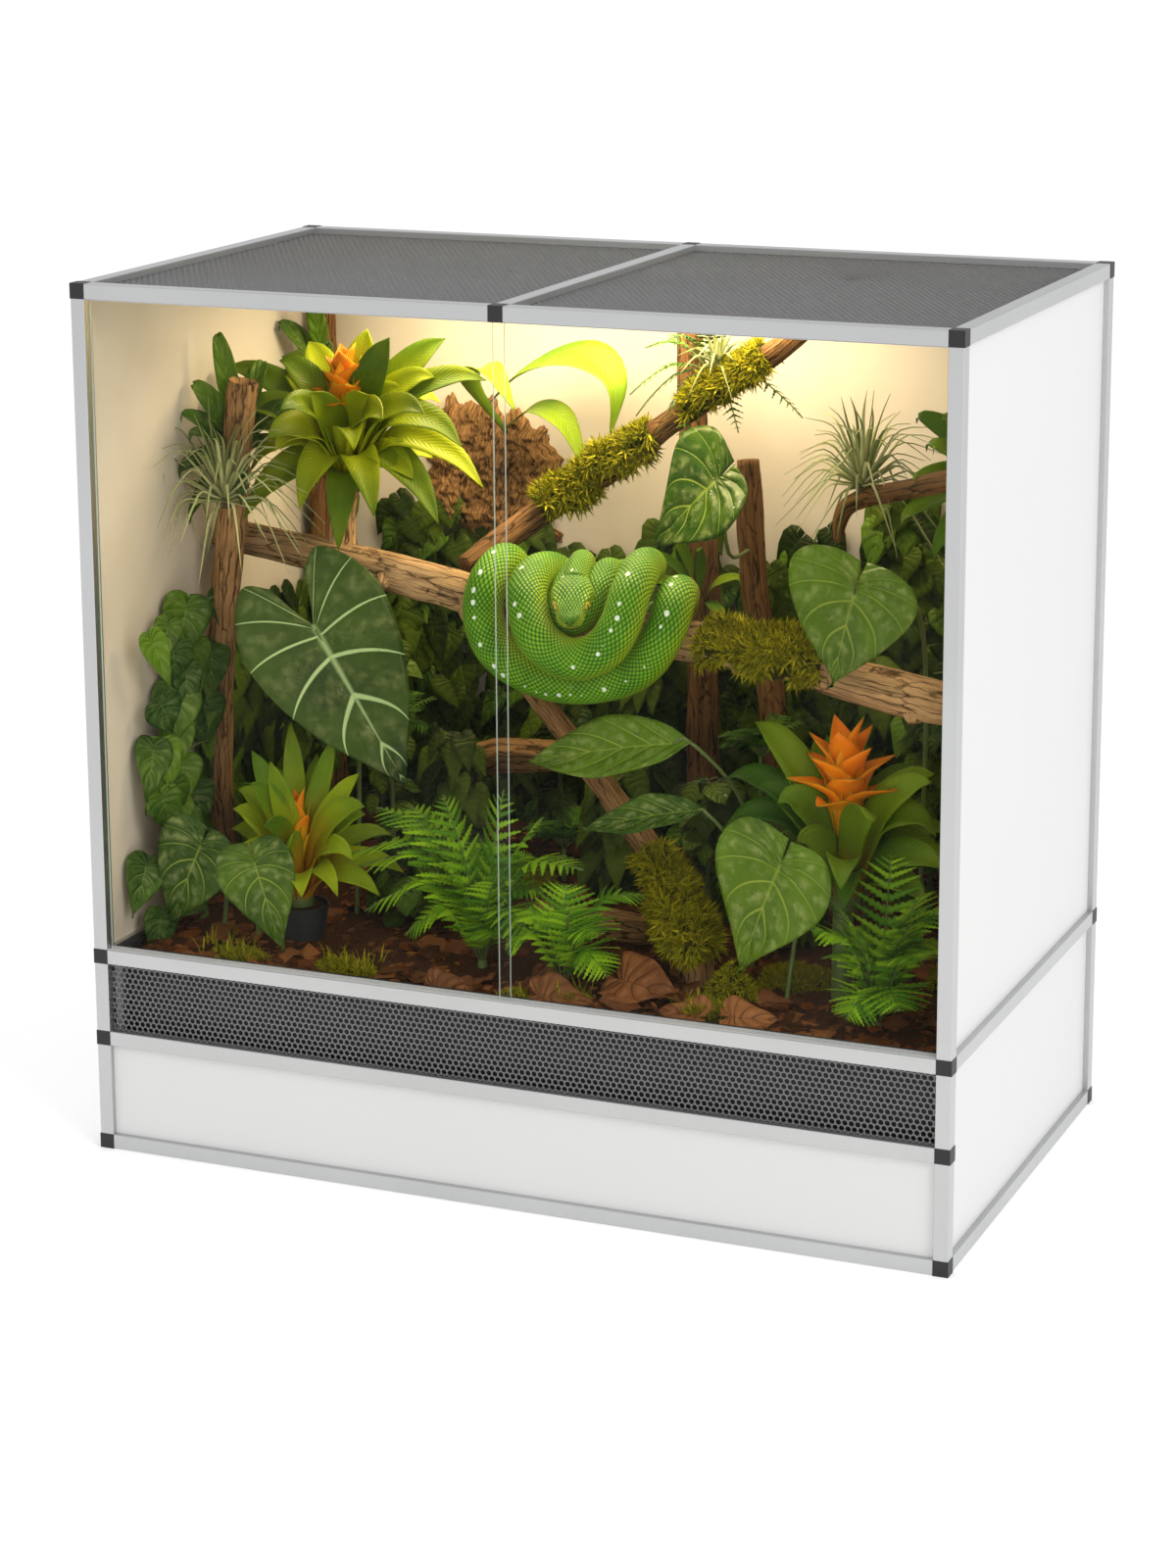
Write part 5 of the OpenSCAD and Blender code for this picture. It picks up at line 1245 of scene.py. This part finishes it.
# Leaves of the bromeliads as (tip from the heart, rise).
UPPER_BROMELIAD = [
    ((24, 20, 205), 30), ((132, 40, 195), 40), ((206, 10, 146), 70), ((192, -40, 62), 90),
    ((214, -20, 4), 90), ((88, -100, -30), 80), ((36, -105, -80), 70), ((-128, -50, 6), 80),
    ((-196, 10, 140), 60), ((-118, -85, -50), 70), ((-14, -80, 130), 30), ((72, -10, 200), 30),
    ((-76, 40, 180), 40), ((110, 70, 100), 70), ((-120, 60, 60), 80), ((20, 80, 60), 90),
    ((150, -70, 110), 60), ((-150, -40, 90), 60), ((60, -100, 60), 70), ((-60, -100, 50), 70),
    ((170, -70, -40), 90), ((-30, -90, -30), 80)]
LEFT_BROMELIAD = [
    ((-30, 40, 235), 20), ((-80, 20, 195), 30), ((42, 30, 225), 20), ((92, 0, 185), 30),
    ((110, -20, 135), 45), ((105, -50, 80), 60), ((88, -62, 30), 60), ((-84, -30, 125), 45),
    ((-66, -66, 60), 60), ((20, -80, 90), 60), ((0, 60, 190), 20), ((-40, 70, 120), 40),
    ((50, 70, 110), 40), ((-20, -40, 200), 20)]
RIGHT_BROMELIAD = [
    ((-133, 30, 210), 60), ((-172, 20, 132), 80), ((-160, -20, 75), 90), ((115, 10, 170), 60),
    ((125, -10, 95), 90), ((60, -60, 120), 70), ((-70, -60, 130), 70), ((-60, 60, 190), 40),
    ((70, 70, 160), 50), ((140, 40, 20), 90), ((-110, 60, 70), 90)]
POT_TOP = ground(-377, -165, 48)


def build_bromeliads():
    dice = random.Random(5)
    bm = new_piece()
    rosette(bm, dice, FORK_TOP + UP * 16, UPPER_BROMELIAD, 50, extra=20, cup=16, cup_height=190,
            spread=0.4, cup_width=1.1)
    piece("upper_bromeliad_leaves", bm, [BROMELIAD_LEAF, YELLOW_CUP, STALK], ("upper_bromeliad",))

    bm = new_piece()
    ops.create_cone(bm, cap_ends=True, segments=24, radius1=27, radius2=32, depth=50,
                    matrix=Matrix.Translation(POT_TOP - UP * 28))
    set_slot(bm.faces, 3)
    rosette(bm, dice, POT_TOP + UP * 6, LEFT_BROMELIAD, 34, extra=16, cup=10, cup_height=158,
            spread=0.28)
    mix = scatter_finish("potting_mix", [
        (0.03, 0.016, 0.008), (0.08, 0.04, 0.018), (0.015, 0.008, 0.005)])
    piece("potted_bromeliad", bm, [TWO_TONE_LEAF, YELLOW_CUP, STALK, mix], ("left_bromeliad",))

    # The rosette stands on a short stem, so that its cup opens above the leaves round it.
    bm = new_piece()
    foot = ground(395, -150, 10)
    stump(bm, foot, UP, ((-20, 15), (60, 14), (130, 13)), 12, 10, rough=0.1, index=2)
    rosette(bm, dice, foot + UP * 130, RIGHT_BROMELIAD, 46, extra=18, cup=16, cup_height=240,
            cup_width=1.2)
    piece("ground_bromeliad", bm, [LOW_LEAF, ORANGE_LEAF, STALK], ("right_bromeliad",))


# Leaves on stalks as (base, tip, facing, width, the stalk's root and middle).
BROAD = [
    ((-372, -120, 700), (-232, -130, 494), (0.2, -0.8, 0.55), 215, (-335, -80), (-340, -60, 560)),
    ((409, -150, 826), (374, -165, 692), (-0.1, -0.85, 0.5), 190, (452, -10), (440, 24, 730)),
    ((341, -236, 478), (279, -242, 325), (0, -0.85, 0.5), 172, (330, -190), (345, -180, 420)),
    ((-484, -244, 414), (-540, -250, 290), (0.25, -0.8, 0.5), 116, (-480, -200), (-470, -205, 350)),
    ((-398, -256, 404), (-358, -262, 282), (0.05, -0.85, 0.5), 108, (-430, -190),
     (-425, -200, 340))]
LONG = [
    ((178, -128, 592), (-64, -132, 556), (0, -0.8, 0.6), 86, (238, -60), (235, -70, 480)),
    ((218, -186, 520), (44, -192, 492), (0, -0.6, 0.8), 60, (254, -100), (254, -130, 430))]


def stalk_to(bm, root, middle, base, tip, facing, radius):
    """A stalk from its root that runs on a little way under the leaf."""
    base, tip = Vector(base), Vector(tip)
    under = -Vector(facing).normalized() * (radius * 0.7)
    stalk(bm, [root, middle, base + under, base.lerp(tip, 0.12) + under], radius)


def build_broad_leaves():
    bm = new_piece()
    for k, (base, tip, facing, width, root, middle) in enumerate(BROAD):
        leaf(bm, HEART if k else ARROW, base, tip, facing, width, fold=0.16, droop=0.12, wave=0.018,
             quilt=0.02, veins=9 if k else 8, across=20, along=44, thickness=1.0, seed=k,
             index=0 if k else 2)
        stalk_to(bm, ground(*root, -15), middle, base, tip, facing, 3.4)
    for base, tip, facing, width, root, middle in LONG:
        leaf(bm, LANCE, base, tip, facing, width, fold=0.3, droop=0.14, wave=0.03, quilt=0.03,
             across=14, along=40, thickness=0.9)
        stalk_to(bm, ground(*root, -15), middle, base, tip, facing, 3)
    piece("broad_leaves", bm, [DARK_LEAF, STALK, ARROW_LEAF], ("broad_leaf_plants",))


LEFT_STEM = [(-560, -150, 262), (-564, -150, 380), (-566, -160, 480), (-566, -140, 590),
             (-566, -120, 700)]
RIGHT_STEM = [(560, -20, 285), (566, -20, 420), (566, -16, 640), (566, -20, 860), (564, -40, 1020)]
LEFT_VINE = [((-560, -130, 712), (-558, -165, 630), (0.7, -0.6, 0.3), 70),
             ((-560, -165, 598), (-556, -200, 520), (0.7, -0.6, 0.3), 72),
             ((-560, -140, 560), (-548, -80, 510), (0.7, -0.6, 0.3), 56),
             ((-558, -215, 520), (-560, -250, 450), (0.7, -0.6, 0.3), 56),
             ((-556, -160, 500), (-544, -178, 440), (0.7, -0.6, 0.3), 54)]
RIGHT_VINE = [((556, -50, 1010), (510, -90, 965), (-0.6, -0.6, 0.5), 60),
              ((552, -50, 830), (508, -88, 760), (-0.6, -0.7, 0.3), 66),
              ((548, -66, 640), (520, -124, 570), (-0.6, -0.7, 0.3), 56)]
# Lime leaves over the cork as (path, width).
CORK_LEAVES = [([(-278, 262, 950), (-222, 234, 996), (-150, 210, 1026), (-88, 190, 1030),
                 (-50, 172, 1000), (-54, 160, 926)], 58),
               ([(-251, 262, 918), (-197, 232, 950), (-143, 212, 938), (-102, 196, 868)], 38),
               ([(-270, 300, 900), (-300, 240, 985), (-240, 180, 1010), (-190, 150, 960)], 40)]


def vine(bm, stem, leaves):
    stalk(bm, stem, 4.0)
    line = through(stem, 30)
    for k, (base, tip, facing, width) in enumerate(leaves):
        base = Vector(base)
        near = Vector(min(line, key=lambda p: (Vector(p) - base).length
                          + 2 * max(0, p[2] - base.z)))
        leaf(bm, HEART, base, tip, facing, width, wave=0.02, quilt=0.02, along=24, seed=k)
        stalk_to(bm, near, near.lerp(base, 0.5) + UP * 6, base, tip, facing, 1.8)


def build_climbers():
    dice = random.Random(9)
    pick = dice.uniform
    bm = new_piece()
    more = []
    for z in range(300, 720, 26):
        for _ in range(2):
            y = pick(-255, -40)
            base = vec(pick(-566, -545), y, z + pick(-12, 12))
            tip = base + vec(pick(2, 22), pick(-45, 25), -pick(45, 75))
            more.append((base, tip, (0.7, -0.6, 0.35), pick(38, 62)))
    vine(bm, LEFT_STEM, LEFT_VINE + more)
    more = []
    for z in range(420, 1040, 40):
        base = vec(pick(545, 562), pick(-70, 60), z)
        tip = base + vec(-pick(10, 40), pick(-55, -10), -pick(40, 70))
        more.append((base, tip, (-0.5, -0.7, 0.4), pick(36, 56)))
    vine(bm, RIGHT_STEM, RIGHT_VINE + more)
    base, tip, facing = (146, 60, 906), (36, 62, 804), (-0.1, -0.8, 0.6)
    leaf(bm, HEART, base, tip, facing, 168, droop=0.14, wave=0.02, quilt=0.02, across=20, along=40,
         thickness=1.0, index=2)
    stalk_to(bm, (142, 192, 783), (150, 80, 800), base, tip, facing, 3)
    keep_in_room(bm)
    piece("climbing_leaves", bm, [CLIMBER_LEAF, STALK, DARK_LEAF], ("climbing_plants",))

    bm = new_piece()
    for points, width in CORK_LEAVES:
        strap(bm, points, width, LIME_STRAP, channel=0.3, across=6, along=20, facing=SHOWN_SIDE)
    piece("cork_leaves", bm, [LIME_LEAF, STALK])


def pinna_model(lobes):
    """One leaflet of a fern, 1 long, with teeth on both edges."""
    bm = new_piece()
    verts, shares = sheet_grid(bm, 2, lobes * 2)
    for v, u, t in shares:
        tooth = 1.0 if round(t * lobes * 2) % 2 else 0.42
        w = 0.135 * tooth * (1 - t) ** 0.6 * (1 if t < 0.99 else 0)
        s = 2 * u - 1
        v.co = vec(t + (0.035 if tooth == 1.0 else 0) * abs(s), s * w,
                   0.05 * abs(s) * w - 0.14 * t * t)
    thicken(bm, verts, 0.012, 0)
    return mesh_from(bm, "pinna")


def frond(bm, pinna, base, crest, tip, width, pairs=12, seed=0.0):
    """A fern frond: leaflets in pairs along an arching stem."""
    points = [base, base.lerp(crest, 0.5) + UP * 6, crest, crest.lerp(tip, 0.6) + UP * 4, tip]
    stalk(bm, points, 1.5, sides=4)
    path = curve(points, pairs + 4)
    side0 = vec(tip.x - base.x, tip.y - base.y, 0).cross(UP)
    side0 = side0.normalized() if side0.length > 1 else vec(1, 0, 0)
    for i in range(3, pairs + 3):
        t = (i - 2) / (pairs + 1)
        ahead = ahead_on(path, i)
        side = square_to(ahead, side0)
        up = side.cross(ahead)
        size = width * 0.5 * sin(math.pi * min(1, 0.16 + 0.86 * t)) + 3
        for sign in (-1, 1):
            x = (side * sign + ahead * (0.35 + 0.2 * t) + up * 0.08 * sin(seed + i)).normalized()
            z = square_to(x, up)
            copy_in(bm, pinna, axes(x * size, z.cross(x) * size, z * size, path[i]))


# Front ferns as (x, y, tips of the fronds), tall ones as (x, y, rise, reach).
FERNS = [(-95, -190, [(-175, -10, 120), (-120, 30, 200), (20, 30, 235), (150, -10, 150),
                      (-90, -50, 45), (95, -45, 60), (-20, 60, 150), (-60, 10, 225), (80, 20, 205),
                      (-150, 40, 60), (-203, 0, 128), (-158, 10, 198), (-150, -46, 70)]),
         (470, -225, [(-80, -36, 130), (-30, -46, 20), (60, -20, 190), (70, -40, 110), (0, 40, 220),
                      (40, -46, 40)]),
         (40, -232, [(-70, -30, 60), (60, -25, 90), (0, 10, 140), (70, -20, 30)])]
TALL_FERNS = [(-352, 75, 200, 68), (-105, 110, 50, 60), (205, 60, 230, 60), (350, 75, 120, 66),
              (-190, -40, 50, 60), (-490, -40, 130, 46)]
HIGH_FERN = [(-100, -40, -30), (-90, -10, 30), (-60, -40, -80), (-40, -50, 50), (-95, -30, -60),
             (20, -50, 60), (110, -10, 20), (140, -20, -50), (60, -50, -70), (-20, -60, -100)]
FROND_X = 572
FROND_FRONT = -300
GOLDEN_ANGLE = 137.5


def build_ferns():
    dice = random.Random(3)
    pick = dice.uniform
    pinna = pinna_model(6)
    bm = new_piece()
    for x, y, fronds in FERNS:
        crown = ground(x, y, 4)
        stump(bm, crown, UP, ((-14, 9), (6, 6)), 8, 6, index=1)
        shapes = [Vector(f) for f in fronds]
        shapes += [vec(pick(-1, 1) * 120, pick(-40, 60), pick(50, 190)) * pick(0.7, 1)
                   for _ in fronds]
        for k, tip in enumerate(shapes):
            crest = crown + tip * 0.45 + UP * (vec(tip.x, tip.y, 0).length * 0.42 + 16)
            end = crown + tip
            end.x = min(FROND_X, max(-FROND_X, end.x))
            end.y = max(FROND_FRONT, end.y)
            end.z = max(soil_height(end.y) + 6, end.z)
            frond(bm, pinna, crown, crest, end, 104 if k < len(fronds) else 84, pairs=13, seed=k)
    piece("front_ferns", bm, [FERN_LEAF, STALK], ("ferns",))

    pinna = pinna_model(3)
    bm = new_piece()
    for x, y, rise, reach in TALL_FERNS:
        crown = ground(x, y, rise)
        stalk(bm, [ground(x, y, -12), ground(x, y, rise / 2), crown + UP * 5], 4)
        for k in range(13):
            lift = 0.25 + 0.3 * (k % 3) + 0.12 * (k > 6)
            out = outward(math.radians(GOLDEN_ANGLE * k), 0.7, lift) * reach
            frond(bm, pinna, crown, crown + out * 0.5 + UP * 0.2 * reach,
                  crown + out - UP * 0.12 * reach, 46, seed=k)
    crown = vec(96, 150, 1030)
    stalk(bm, [(118, 132, 1008), crown], 5)
    for k, tip in enumerate(HIGH_FERN):
        tip = Vector(tip)
        frond(bm, pinna, crown, crown + tip * 0.5 + UP * 26, crown + tip, 44, seed=k)
    keep_in_room(bm)
    piece("back_ferns", bm, [FERN_IN_PAINTED_SHADE, STALK])


# Air plants as (seat, size, leaves, squash, axis of the heart).
AIR_PLANTS = [(vec(-525, -77, 850), 152, 92, 0.85, vec(0, -1, 0.2)),
              (vec(364, 0, 918), 130, 78, 0.8, UP), (vec(118, 120, 1043), 66, 34, 0.9, UP)]
AIR_LEAF_X = 582
AIR_LEAF_TOP = 1160


def build_air_plants():
    """Many narrow grey-green leaves that curl out from a small heart."""
    dice = random.Random(13)
    pick = dice.uniform
    bm = new_piece()
    for seat, size, count, squash, grows in AIR_PLANTS:
        stump(bm, seat, grows, ((-9, 9), (6, 8), (14, 4)), 10, 4, index=1)
        for k in range(count):
            lift = math.radians(78 - 118 * k / count + pick(-8, 8))
            reach = size * pick(0.72, 1.08)
            out = aloft(NEXT_LEAF * k, lift, squash)
            tip = seat + out * reach + vec(0, 0, -reach * 0.12)
            mid = seat + out * reach * 0.55 + UP * reach * (0.10 + 0.16 * cos(lift))
            tip = vec(min(AIR_LEAF_X, max(-AIR_LEAF_X, tip.x)), tip.y, min(AIR_LEAF_TOP, tip.z))
            curl = vec(pick(-1, 1), pick(-1, 1), pick(-0.2, 1)) * reach * 0.10
            strap(bm, [seat, seat.lerp(mid, 0.5) + UP * 4, mid, tip + curl], 6.5, GRASS,
                  channel=0.6, across=2, along=9, thickness=0.6)
    keep_in_room(bm)
    piece("tufted_air_plants", bm, [AIR_LEAF, BROWN_STALK], ("air_plants",))


# Bushes as (x, y, rise, reach).
BUSHES = [(-492, 90, 330, 70), (-430, 205, 300, 66), (-238, 40, 220, 58), (-170, 252, 330, 62),
          (-20, 90, 175, 64), (130, 60, 190, 64), (308, 215, 320, 70), (420, 140, 330, 66),
          (515, 80, 250, 48), (525, 242, 400, 46), (270, 25, 170, 60), (-265, -60, 125, 56),
          (-40, 272, 380, 50)]


def build_undergrowth():
    """Leafy plants that fill the shade behind: stems with spreading leaves and small ones."""
    dice = random.Random(31)
    pick = dice.uniform
    bm = new_piece()
    for index, (x, y, rise, reach) in enumerate(BUSHES):
        root, top = ground(x, y, -15), ground(x, y, rise)
        stalk(bm, [root, root.lerp(top, 0.5), top], 4)
        kind = (0, 2, 0, 3)[index % 4]
        outline = LANCE if index % 2 else HEART
        for k in range(7):
            joint = root.lerp(top, 0.3 + 0.68 * k / 6)
            out = outward(math.radians(GOLDEN_ANGLE * k + 40 * index), 0.7)
            tip = joint + out * reach - UP * 0.12 * reach
            base = joint + out * reach * 0.12 + UP * 3
            leaf(bm, outline, base, tip, UP + out * 0.15 - vec(0, 0.35, 0), reach * 0.62,
                 droop=0.22, wave=0.03, across=8, along=14, seed=k, index=kind)
            stalk(bm, [joint, base, base.lerp(tip, 0.1) - UP], 1.5, sides=4)
        for k in range(44):
            joint = root.lerp(top, pick(0.15, 1.03))
            turn = pick(0, tau)
            out = vec(cos(turn), sin(turn) * 0.7 - 0.25, pick(0, 0.3))
            base = joint + out * reach * pick(0.25, 0.6)
            length = pick(34, 58)
            tip = base + (out * 0.6 + vec(0, -0.15, -1)).normalized() * length
            tip.z = max(tip.z, soil_height(tip.y) + 6)
            leaf(bm, outline, base, tip, (out.x * 0.5, -0.8, 0.7), length * pick(0.55, 0.8),
                 fold=0.22, wave=0.03, across=4, along=8, thickness=0.7, seed=k,
                 index=0 if k % 3 else kind)
            stalk(bm, [joint, joint.lerp(base, 0.5) + UP * 4, base.lerp(tip, 0.12)], 1.2, sides=4)
    keep_in_room(bm)
    piece("undergrowth", bm, [LEAF_IN_PAINTED_SHADE, STALK, DARK_LEAF, CLIMBER_LEAF])


def build_creeper():
    """A small-leaved creeper that covers the foot of the back and left walls."""
    dice = random.Random(37)
    pick = dice.uniform
    bm = new_piece()
    stems = [(x, 320, vec(0, -1, 0), pick(380, 560)) for x in range(-566, 570, 54)]
    stems += [(-581, y, vec(1, 0, 0), pick(300, 420)) for y in range(-20, 300, 52)]
    for x, y, out, rise in stems:
        along_wall = out.cross(UP)
        points = [vec(x, y, 250)]
        while points[-1].z < 300 + rise * 0.9:
            points.append(vec(x, y, points[-1].z + 60) + along_wall * pick(-22, 22))
        stalk(bm, points, 2.4, sides=5)
        for k, joint in enumerate(curve(points, 38)[3:]):
            sideways = along_wall * (1 if k % 2 else -1)
            base = joint + sideways * pick(8, 20) + out * pick(3, 14)
            hang = (sideways * pick(0.1, 0.8) - UP + out * pick(0, 0.3)).normalized()
            tip = base + hang * pick(42, 68)
            leaf(bm, HEART, base, tip, out + UP * 0.35 + along_wall * pick(-0.4, 0.4), pick(36, 54),
                 droop=0.12, across=4, along=7, thickness=0.6, seed=k, index=2 if k % 7 == 3 else 0)
            stalk(bm, [joint, base.lerp(tip, 0.12)], 0.9, sides=3)
    keep_in_room(bm)
    piece("wall_creeper", bm, [LEAF_IN_PAINTED_SHADE, STALK, CLIMBER_LEAF])


# Strap-leaved plants on the trunks as (seat, finish, leaves), each leaf with its tip and width.
TRUNK_PLANTS = [
    ((-524, -38, 905), 0, [
        ((-20, -10, 165), 30), ((-46, -30, 100), 34), ((-58, -40, 60), 28), ((-52, -60, -10), 30),
        ((-40, 50, 110), 30), ((60, 30, 70), 34), ((10, 60, 120), 32), ((-50, 20, 20), 26),
        ((-30, -70, 40), 26), ((30, -50, -40), 24), ((-45, -50, -70), 26), ((50, 60, 10), 28)]),
    ((-540, 262, 960), 0, [
        ((-36, -60, 90), 34), ((-20, -80, 20), 32), ((60, -60, -30), 34), ((80, -20, 30), 34),
        ((-30, -70, -60), 30), ((40, -80, 70), 30), ((90, -50, -80), 32), ((10, -60, 130), 28)]),
    ((56, 222, 690), 2, [
        ((-60, -50, 40), 20), ((-40, -70, 80), 20), ((20, -60, 90), 20), ((70, -40, 50), 20),
        ((-70, -30, -20), 18), ((60, -60, -10), 18), ((0, -80, 20), 20), ((-30, -40, 110), 18)]),
    ((548, -30, 930), 2, [
        ((-90, -20, 90), 38), ((-60, -50, 60), 36), ((-80, -60, 20), 34), ((-40, -80, 100), 34),
        ((-100, -40, -30), 34), ((-50, -70, -60), 34), ((-90, 20, 50), 32)])]


def build_trunk_leaves():
    """Dark strap-leaved plants seated on the standing trunks."""
    bm = new_piece()
    for seat, index, leaves in TRUNK_PLANTS:
        seat = Vector(seat)
        stump(bm, seat, UP, ((-12, 8), (0, 9), (10, 5)), 8, 5, index=1)
        for tip, width in leaves:
            tip = Vector(tip)
            crest = seat + tip * 0.55 + UP * (0.16 * tip.length)
            path = [seat, seat.lerp(crest, 0.5) + UP * 6, crest, seat + tip + UP * 4,
                    seat + tip * 1.08 - UP * 12]
            strap(bm, path, width, TRUNK_STRAP, across=6, index=index, facing=SHOWN_SIDE)
    keep_in_room(bm)
    piece("trunk_plants", bm, [CLIMBER_LEAF, BROWN_STALK, LIME_LEAF])


# ---- Snake ---------------------------------------------------------------------------
# The body as (x, y, z, radius), from the tail to the neck.
SNAKE = [(-20, -6, 690, 6), (-66, 2, 694, 12), (-104, 0, 712, 18), (-117, -8, 750, 21),
         (-118, -30, 782, 22.5), (-117, -64, 793, 23), (-120, -108, 772, 23),
         (-118, -124, 730, 23.5),
         (-96, -127, 690, 24), (-52, -128, 665, 24), (8, -129, 656, 24), (71, -129, 668, 24),
         (114, -129, 694, 24), (141, -126, 738, 23.5), (142, -94, 770, 23), (130, -48, 766, 23),
         (100, -6, 728, 23), (30, -6, 708, 23), (-24, -8, 735, 23), (-50, -32, 776, 23),
         (-54, -75, 789, 23), (-51, -124, 784, 23), (-41, -157, 764, 23.5), (-18, -180, 729, 24),
         (14, -184, 707, 24), (46, -184, 704, 24), (78, -182, 720, 24), (97, -173, 752, 23.5),
         (100, -146, 788, 23), (94, -94, 806, 22.5), (88, -54, 804, 21), (67, -17, 787, 19.5),
         (39, -37, 786, 18.5), (38, -72, 794, 19.5), (41, -102, 781, 20), (40, -127, 761, 19.5),
         (21, -152, 744, 19), (-5, -132, 757, 18), (-9, -104, 772, 19), (-9, -84, 783, 19),
         (-3, -62, 801, 17.5), (5, -84, 805, 16.5), (11, -110, 797, 16), (16, -127, 789, 16.5)]
# The coils lie pressed together: their radii grow by this, the thinner neck and tail by less.
COIL_GROWTH = 1.16
NECK_GROWTH = 1.04
COIL_RADIUS = 19.5
# Sections of the head, from the neck to the lips: x, y, z, half its width and half its height.
HEAD = [(15, -119, 790, 17, 14), (17, -132, 787, 22, 17), (20, -145, 783, 27.5, 20),
        (24, -158, 779, 28, 20), (28, -170, 774, 24.5, 17), (32, -182, 768, 19.5, 14),
        (36, -193, 762, 17.5, 12.5), (39, -202, 757, 15.5, 11), (41, -208, 754, 10, 7),
        (42, -210, 753, 4, 3)]
HEAD_ROWS = 48
HEAD_SIDES = 56
HEAD_LINE = through(HEAD, HEAD_ROWS + 1)
HEAD_CENTRES = [Vector(p[:3]) for p in HEAD_LINE]
MOUTH_TURN = 1.93
# Humps and hollows of the head as (height, turn, its spread, place along, its spread), the
# same on both sides.
HEAD_FORMS = ((0.20, 0.98, 0.22, 0.50, 0.12),     # brows
              (0.09, 0.62, 0.16, 0.80, 0.14),     # ridges to the nostrils
              (-0.16, 1.42, 0.20, 0.53, 0.09),    # hollows for the eyes
              (-0.08, 0, 0.30, 0.28, 0.16),       # furrow between the crown's lobes
              (-0.15, 0, 0.55, 0.72, 0.11))       # step down to the snout


def snake_back(centre):
    """Which way the snake's back faces: out from the perch and towards the front."""
    out = vec(0, centre.y + 68, centre.z - 724)
    return (out.normalized() * 0.7 + vec(0, -0.75, 0.12)).normalized()


def ridge(value, middle, half):
    """A smooth hump, 1 at its middle."""
    return math.exp(-((value - middle) / half) ** 2)


def head_point(t, turn):
    """A point of the head's skin and its directions: t is 0 at the neck and 1 at the lips."""
    i = round(t * HEAD_ROWS)
    ahead = ahead_on(HEAD_CENTRES, i)
    up = square_to(ahead, UP)
    side = ahead.cross(up)
    wide, high = HEAD_LINE[i][3:]
    c, s = cos(turn), sin(turn)
    turn = abs(turn)
    box = 1 - 0.30 * ridge(t, 0.9, 0.3)
    px, pz = math.copysign(abs(s) ** box, s), math.copysign(abs(c) ** box, c)
    grow = 1
    for height, middle, half, place, length in HEAD_FORMS:
        grow += height * ridge(turn, middle, half) * ridge(t, place, length)
    grow += 0.07 * ridge(turn, 1.62, 0.16) * (t > 0.35) * min(1, (t - 0.3) * 4)       # upper lip
    grow -= 0.13 * ridge(turn, MOUTH_TURN, 0.09) * min(1, max(0, t - 0.28) * 5)       # mouth line
    grow -= 0.08 * (turn > 2.0) * min(1, max(0, t - 0.3) * 3)      # the lower jaw sits inside
    return HEAD_CENTRES[i] + (side * px * wide + up * pz * high) * grow, ahead, side, up


@apart
def snake_head(bm):
    verts, shares = sheet_grid(bm, HEAD_SIDES, HEAD_ROWS)
    layer = bm.loops.layers.uv.active
    set_slot(bm.faces, 0)
    for f in bm.faces:
        for loop in f.loops:
            u, t = loop[layer].uv
            loop[layer].uv = ((u - 0.5) * 0.17, t * 0.10 + HEAD_UV + 0.2)
        middle = f.calc_center_median()
        if middle.y + 0.5 > 0.34 and abs(abs(middle.x * tau) - MOUTH_TURN) < 0.07:
            f.material_index = 1
    for v, u, t in shares:
        v.co = head_point(t, (u - 0.5) * tau)[0]
    ops.remove_doubles(bm, verts=verts, dist=1e-3)
    set_slot(ops.holes_fill(bm, edges=rim_of(bm))["faces"], 0)
    face_outward(bm)


def ball(bm, place, radius, across, around):
    verts = ops.create_uvsphere(bm, u_segments=across, v_segments=around, radius=radius)["verts"]
    move(bm, verts, place)


# The nostril and the pits along the lip as (place along, turn, radius).
PITS = ((0.95, 0.55, 1.5), (0.74, 1.66, 0.9), (0.82, 1.66, 0.9), (0.90, 1.66, 0.9))


def build_snake():
    bm = new_piece()
    body = [(x, y, z, r * (COIL_GROWTH if r > COIL_RADIUS else NECK_GROWTH))
            for x, y, z, r in SNAKE]
    limb(bm, body, sides=36, step=4, back=snake_back)
    snake_head(bm)
    mouth = plain_finish("snake_mouth", (0.03, 0.045, 0.006), 0.5)
    piece("green_tree_snake", bm, [snake_finish(), mouth], ("tree_snake",))

    bm = new_piece()
    slits = new_piece()
    for sign in (-1, 1):
        spot, ahead, side, up = head_point(0.53, sign * 1.32)
        ball(bm, spot, 6.2, 20, 14)
        look = (side * sign + ahead * 0.95 + up * 0.15).normalized()
        slit = ops.create_uvsphere(slits, u_segments=14, v_segments=10, radius=1)["verts"]
        frame_of_eye = axes(look, up.cross(look).normalized(), up, spot + look * 4.5)
        ops.transform(slits, matrix=frame_of_eye @ Matrix.Diagonal((2.2, 1.3, 3.9, 1)), verts=slit)
        for t, turn, size in PITS:
            ball(slits, head_point(t, sign * turn)[0], size, 10, 6)
    set_slot(bm.faces, 0)
    set_slot(slits.faces, 0)
    iris, tree, shader = new_material("snake_eye", 0.1)
    streaks = cloud(places(tree), 900.0, 2.0)
    feed(shader, Base_Color=blend(streaks, (0.50, 0.30, 0.01), (0.90, 0.62, 0.04)))
    piece("snake_eyes", bm, [iris])
    black = plain_finish("pupil_black", (0.005, 0.005, 0.004), 0.15)
    piece("snake_pupils", slits, [black])


build_bromeliads()
build_broad_leaves()
build_climbers()
build_ferns()
build_air_plants()
build_undergrowth()
build_creeper()
build_trunk_leaves()
build_snake()
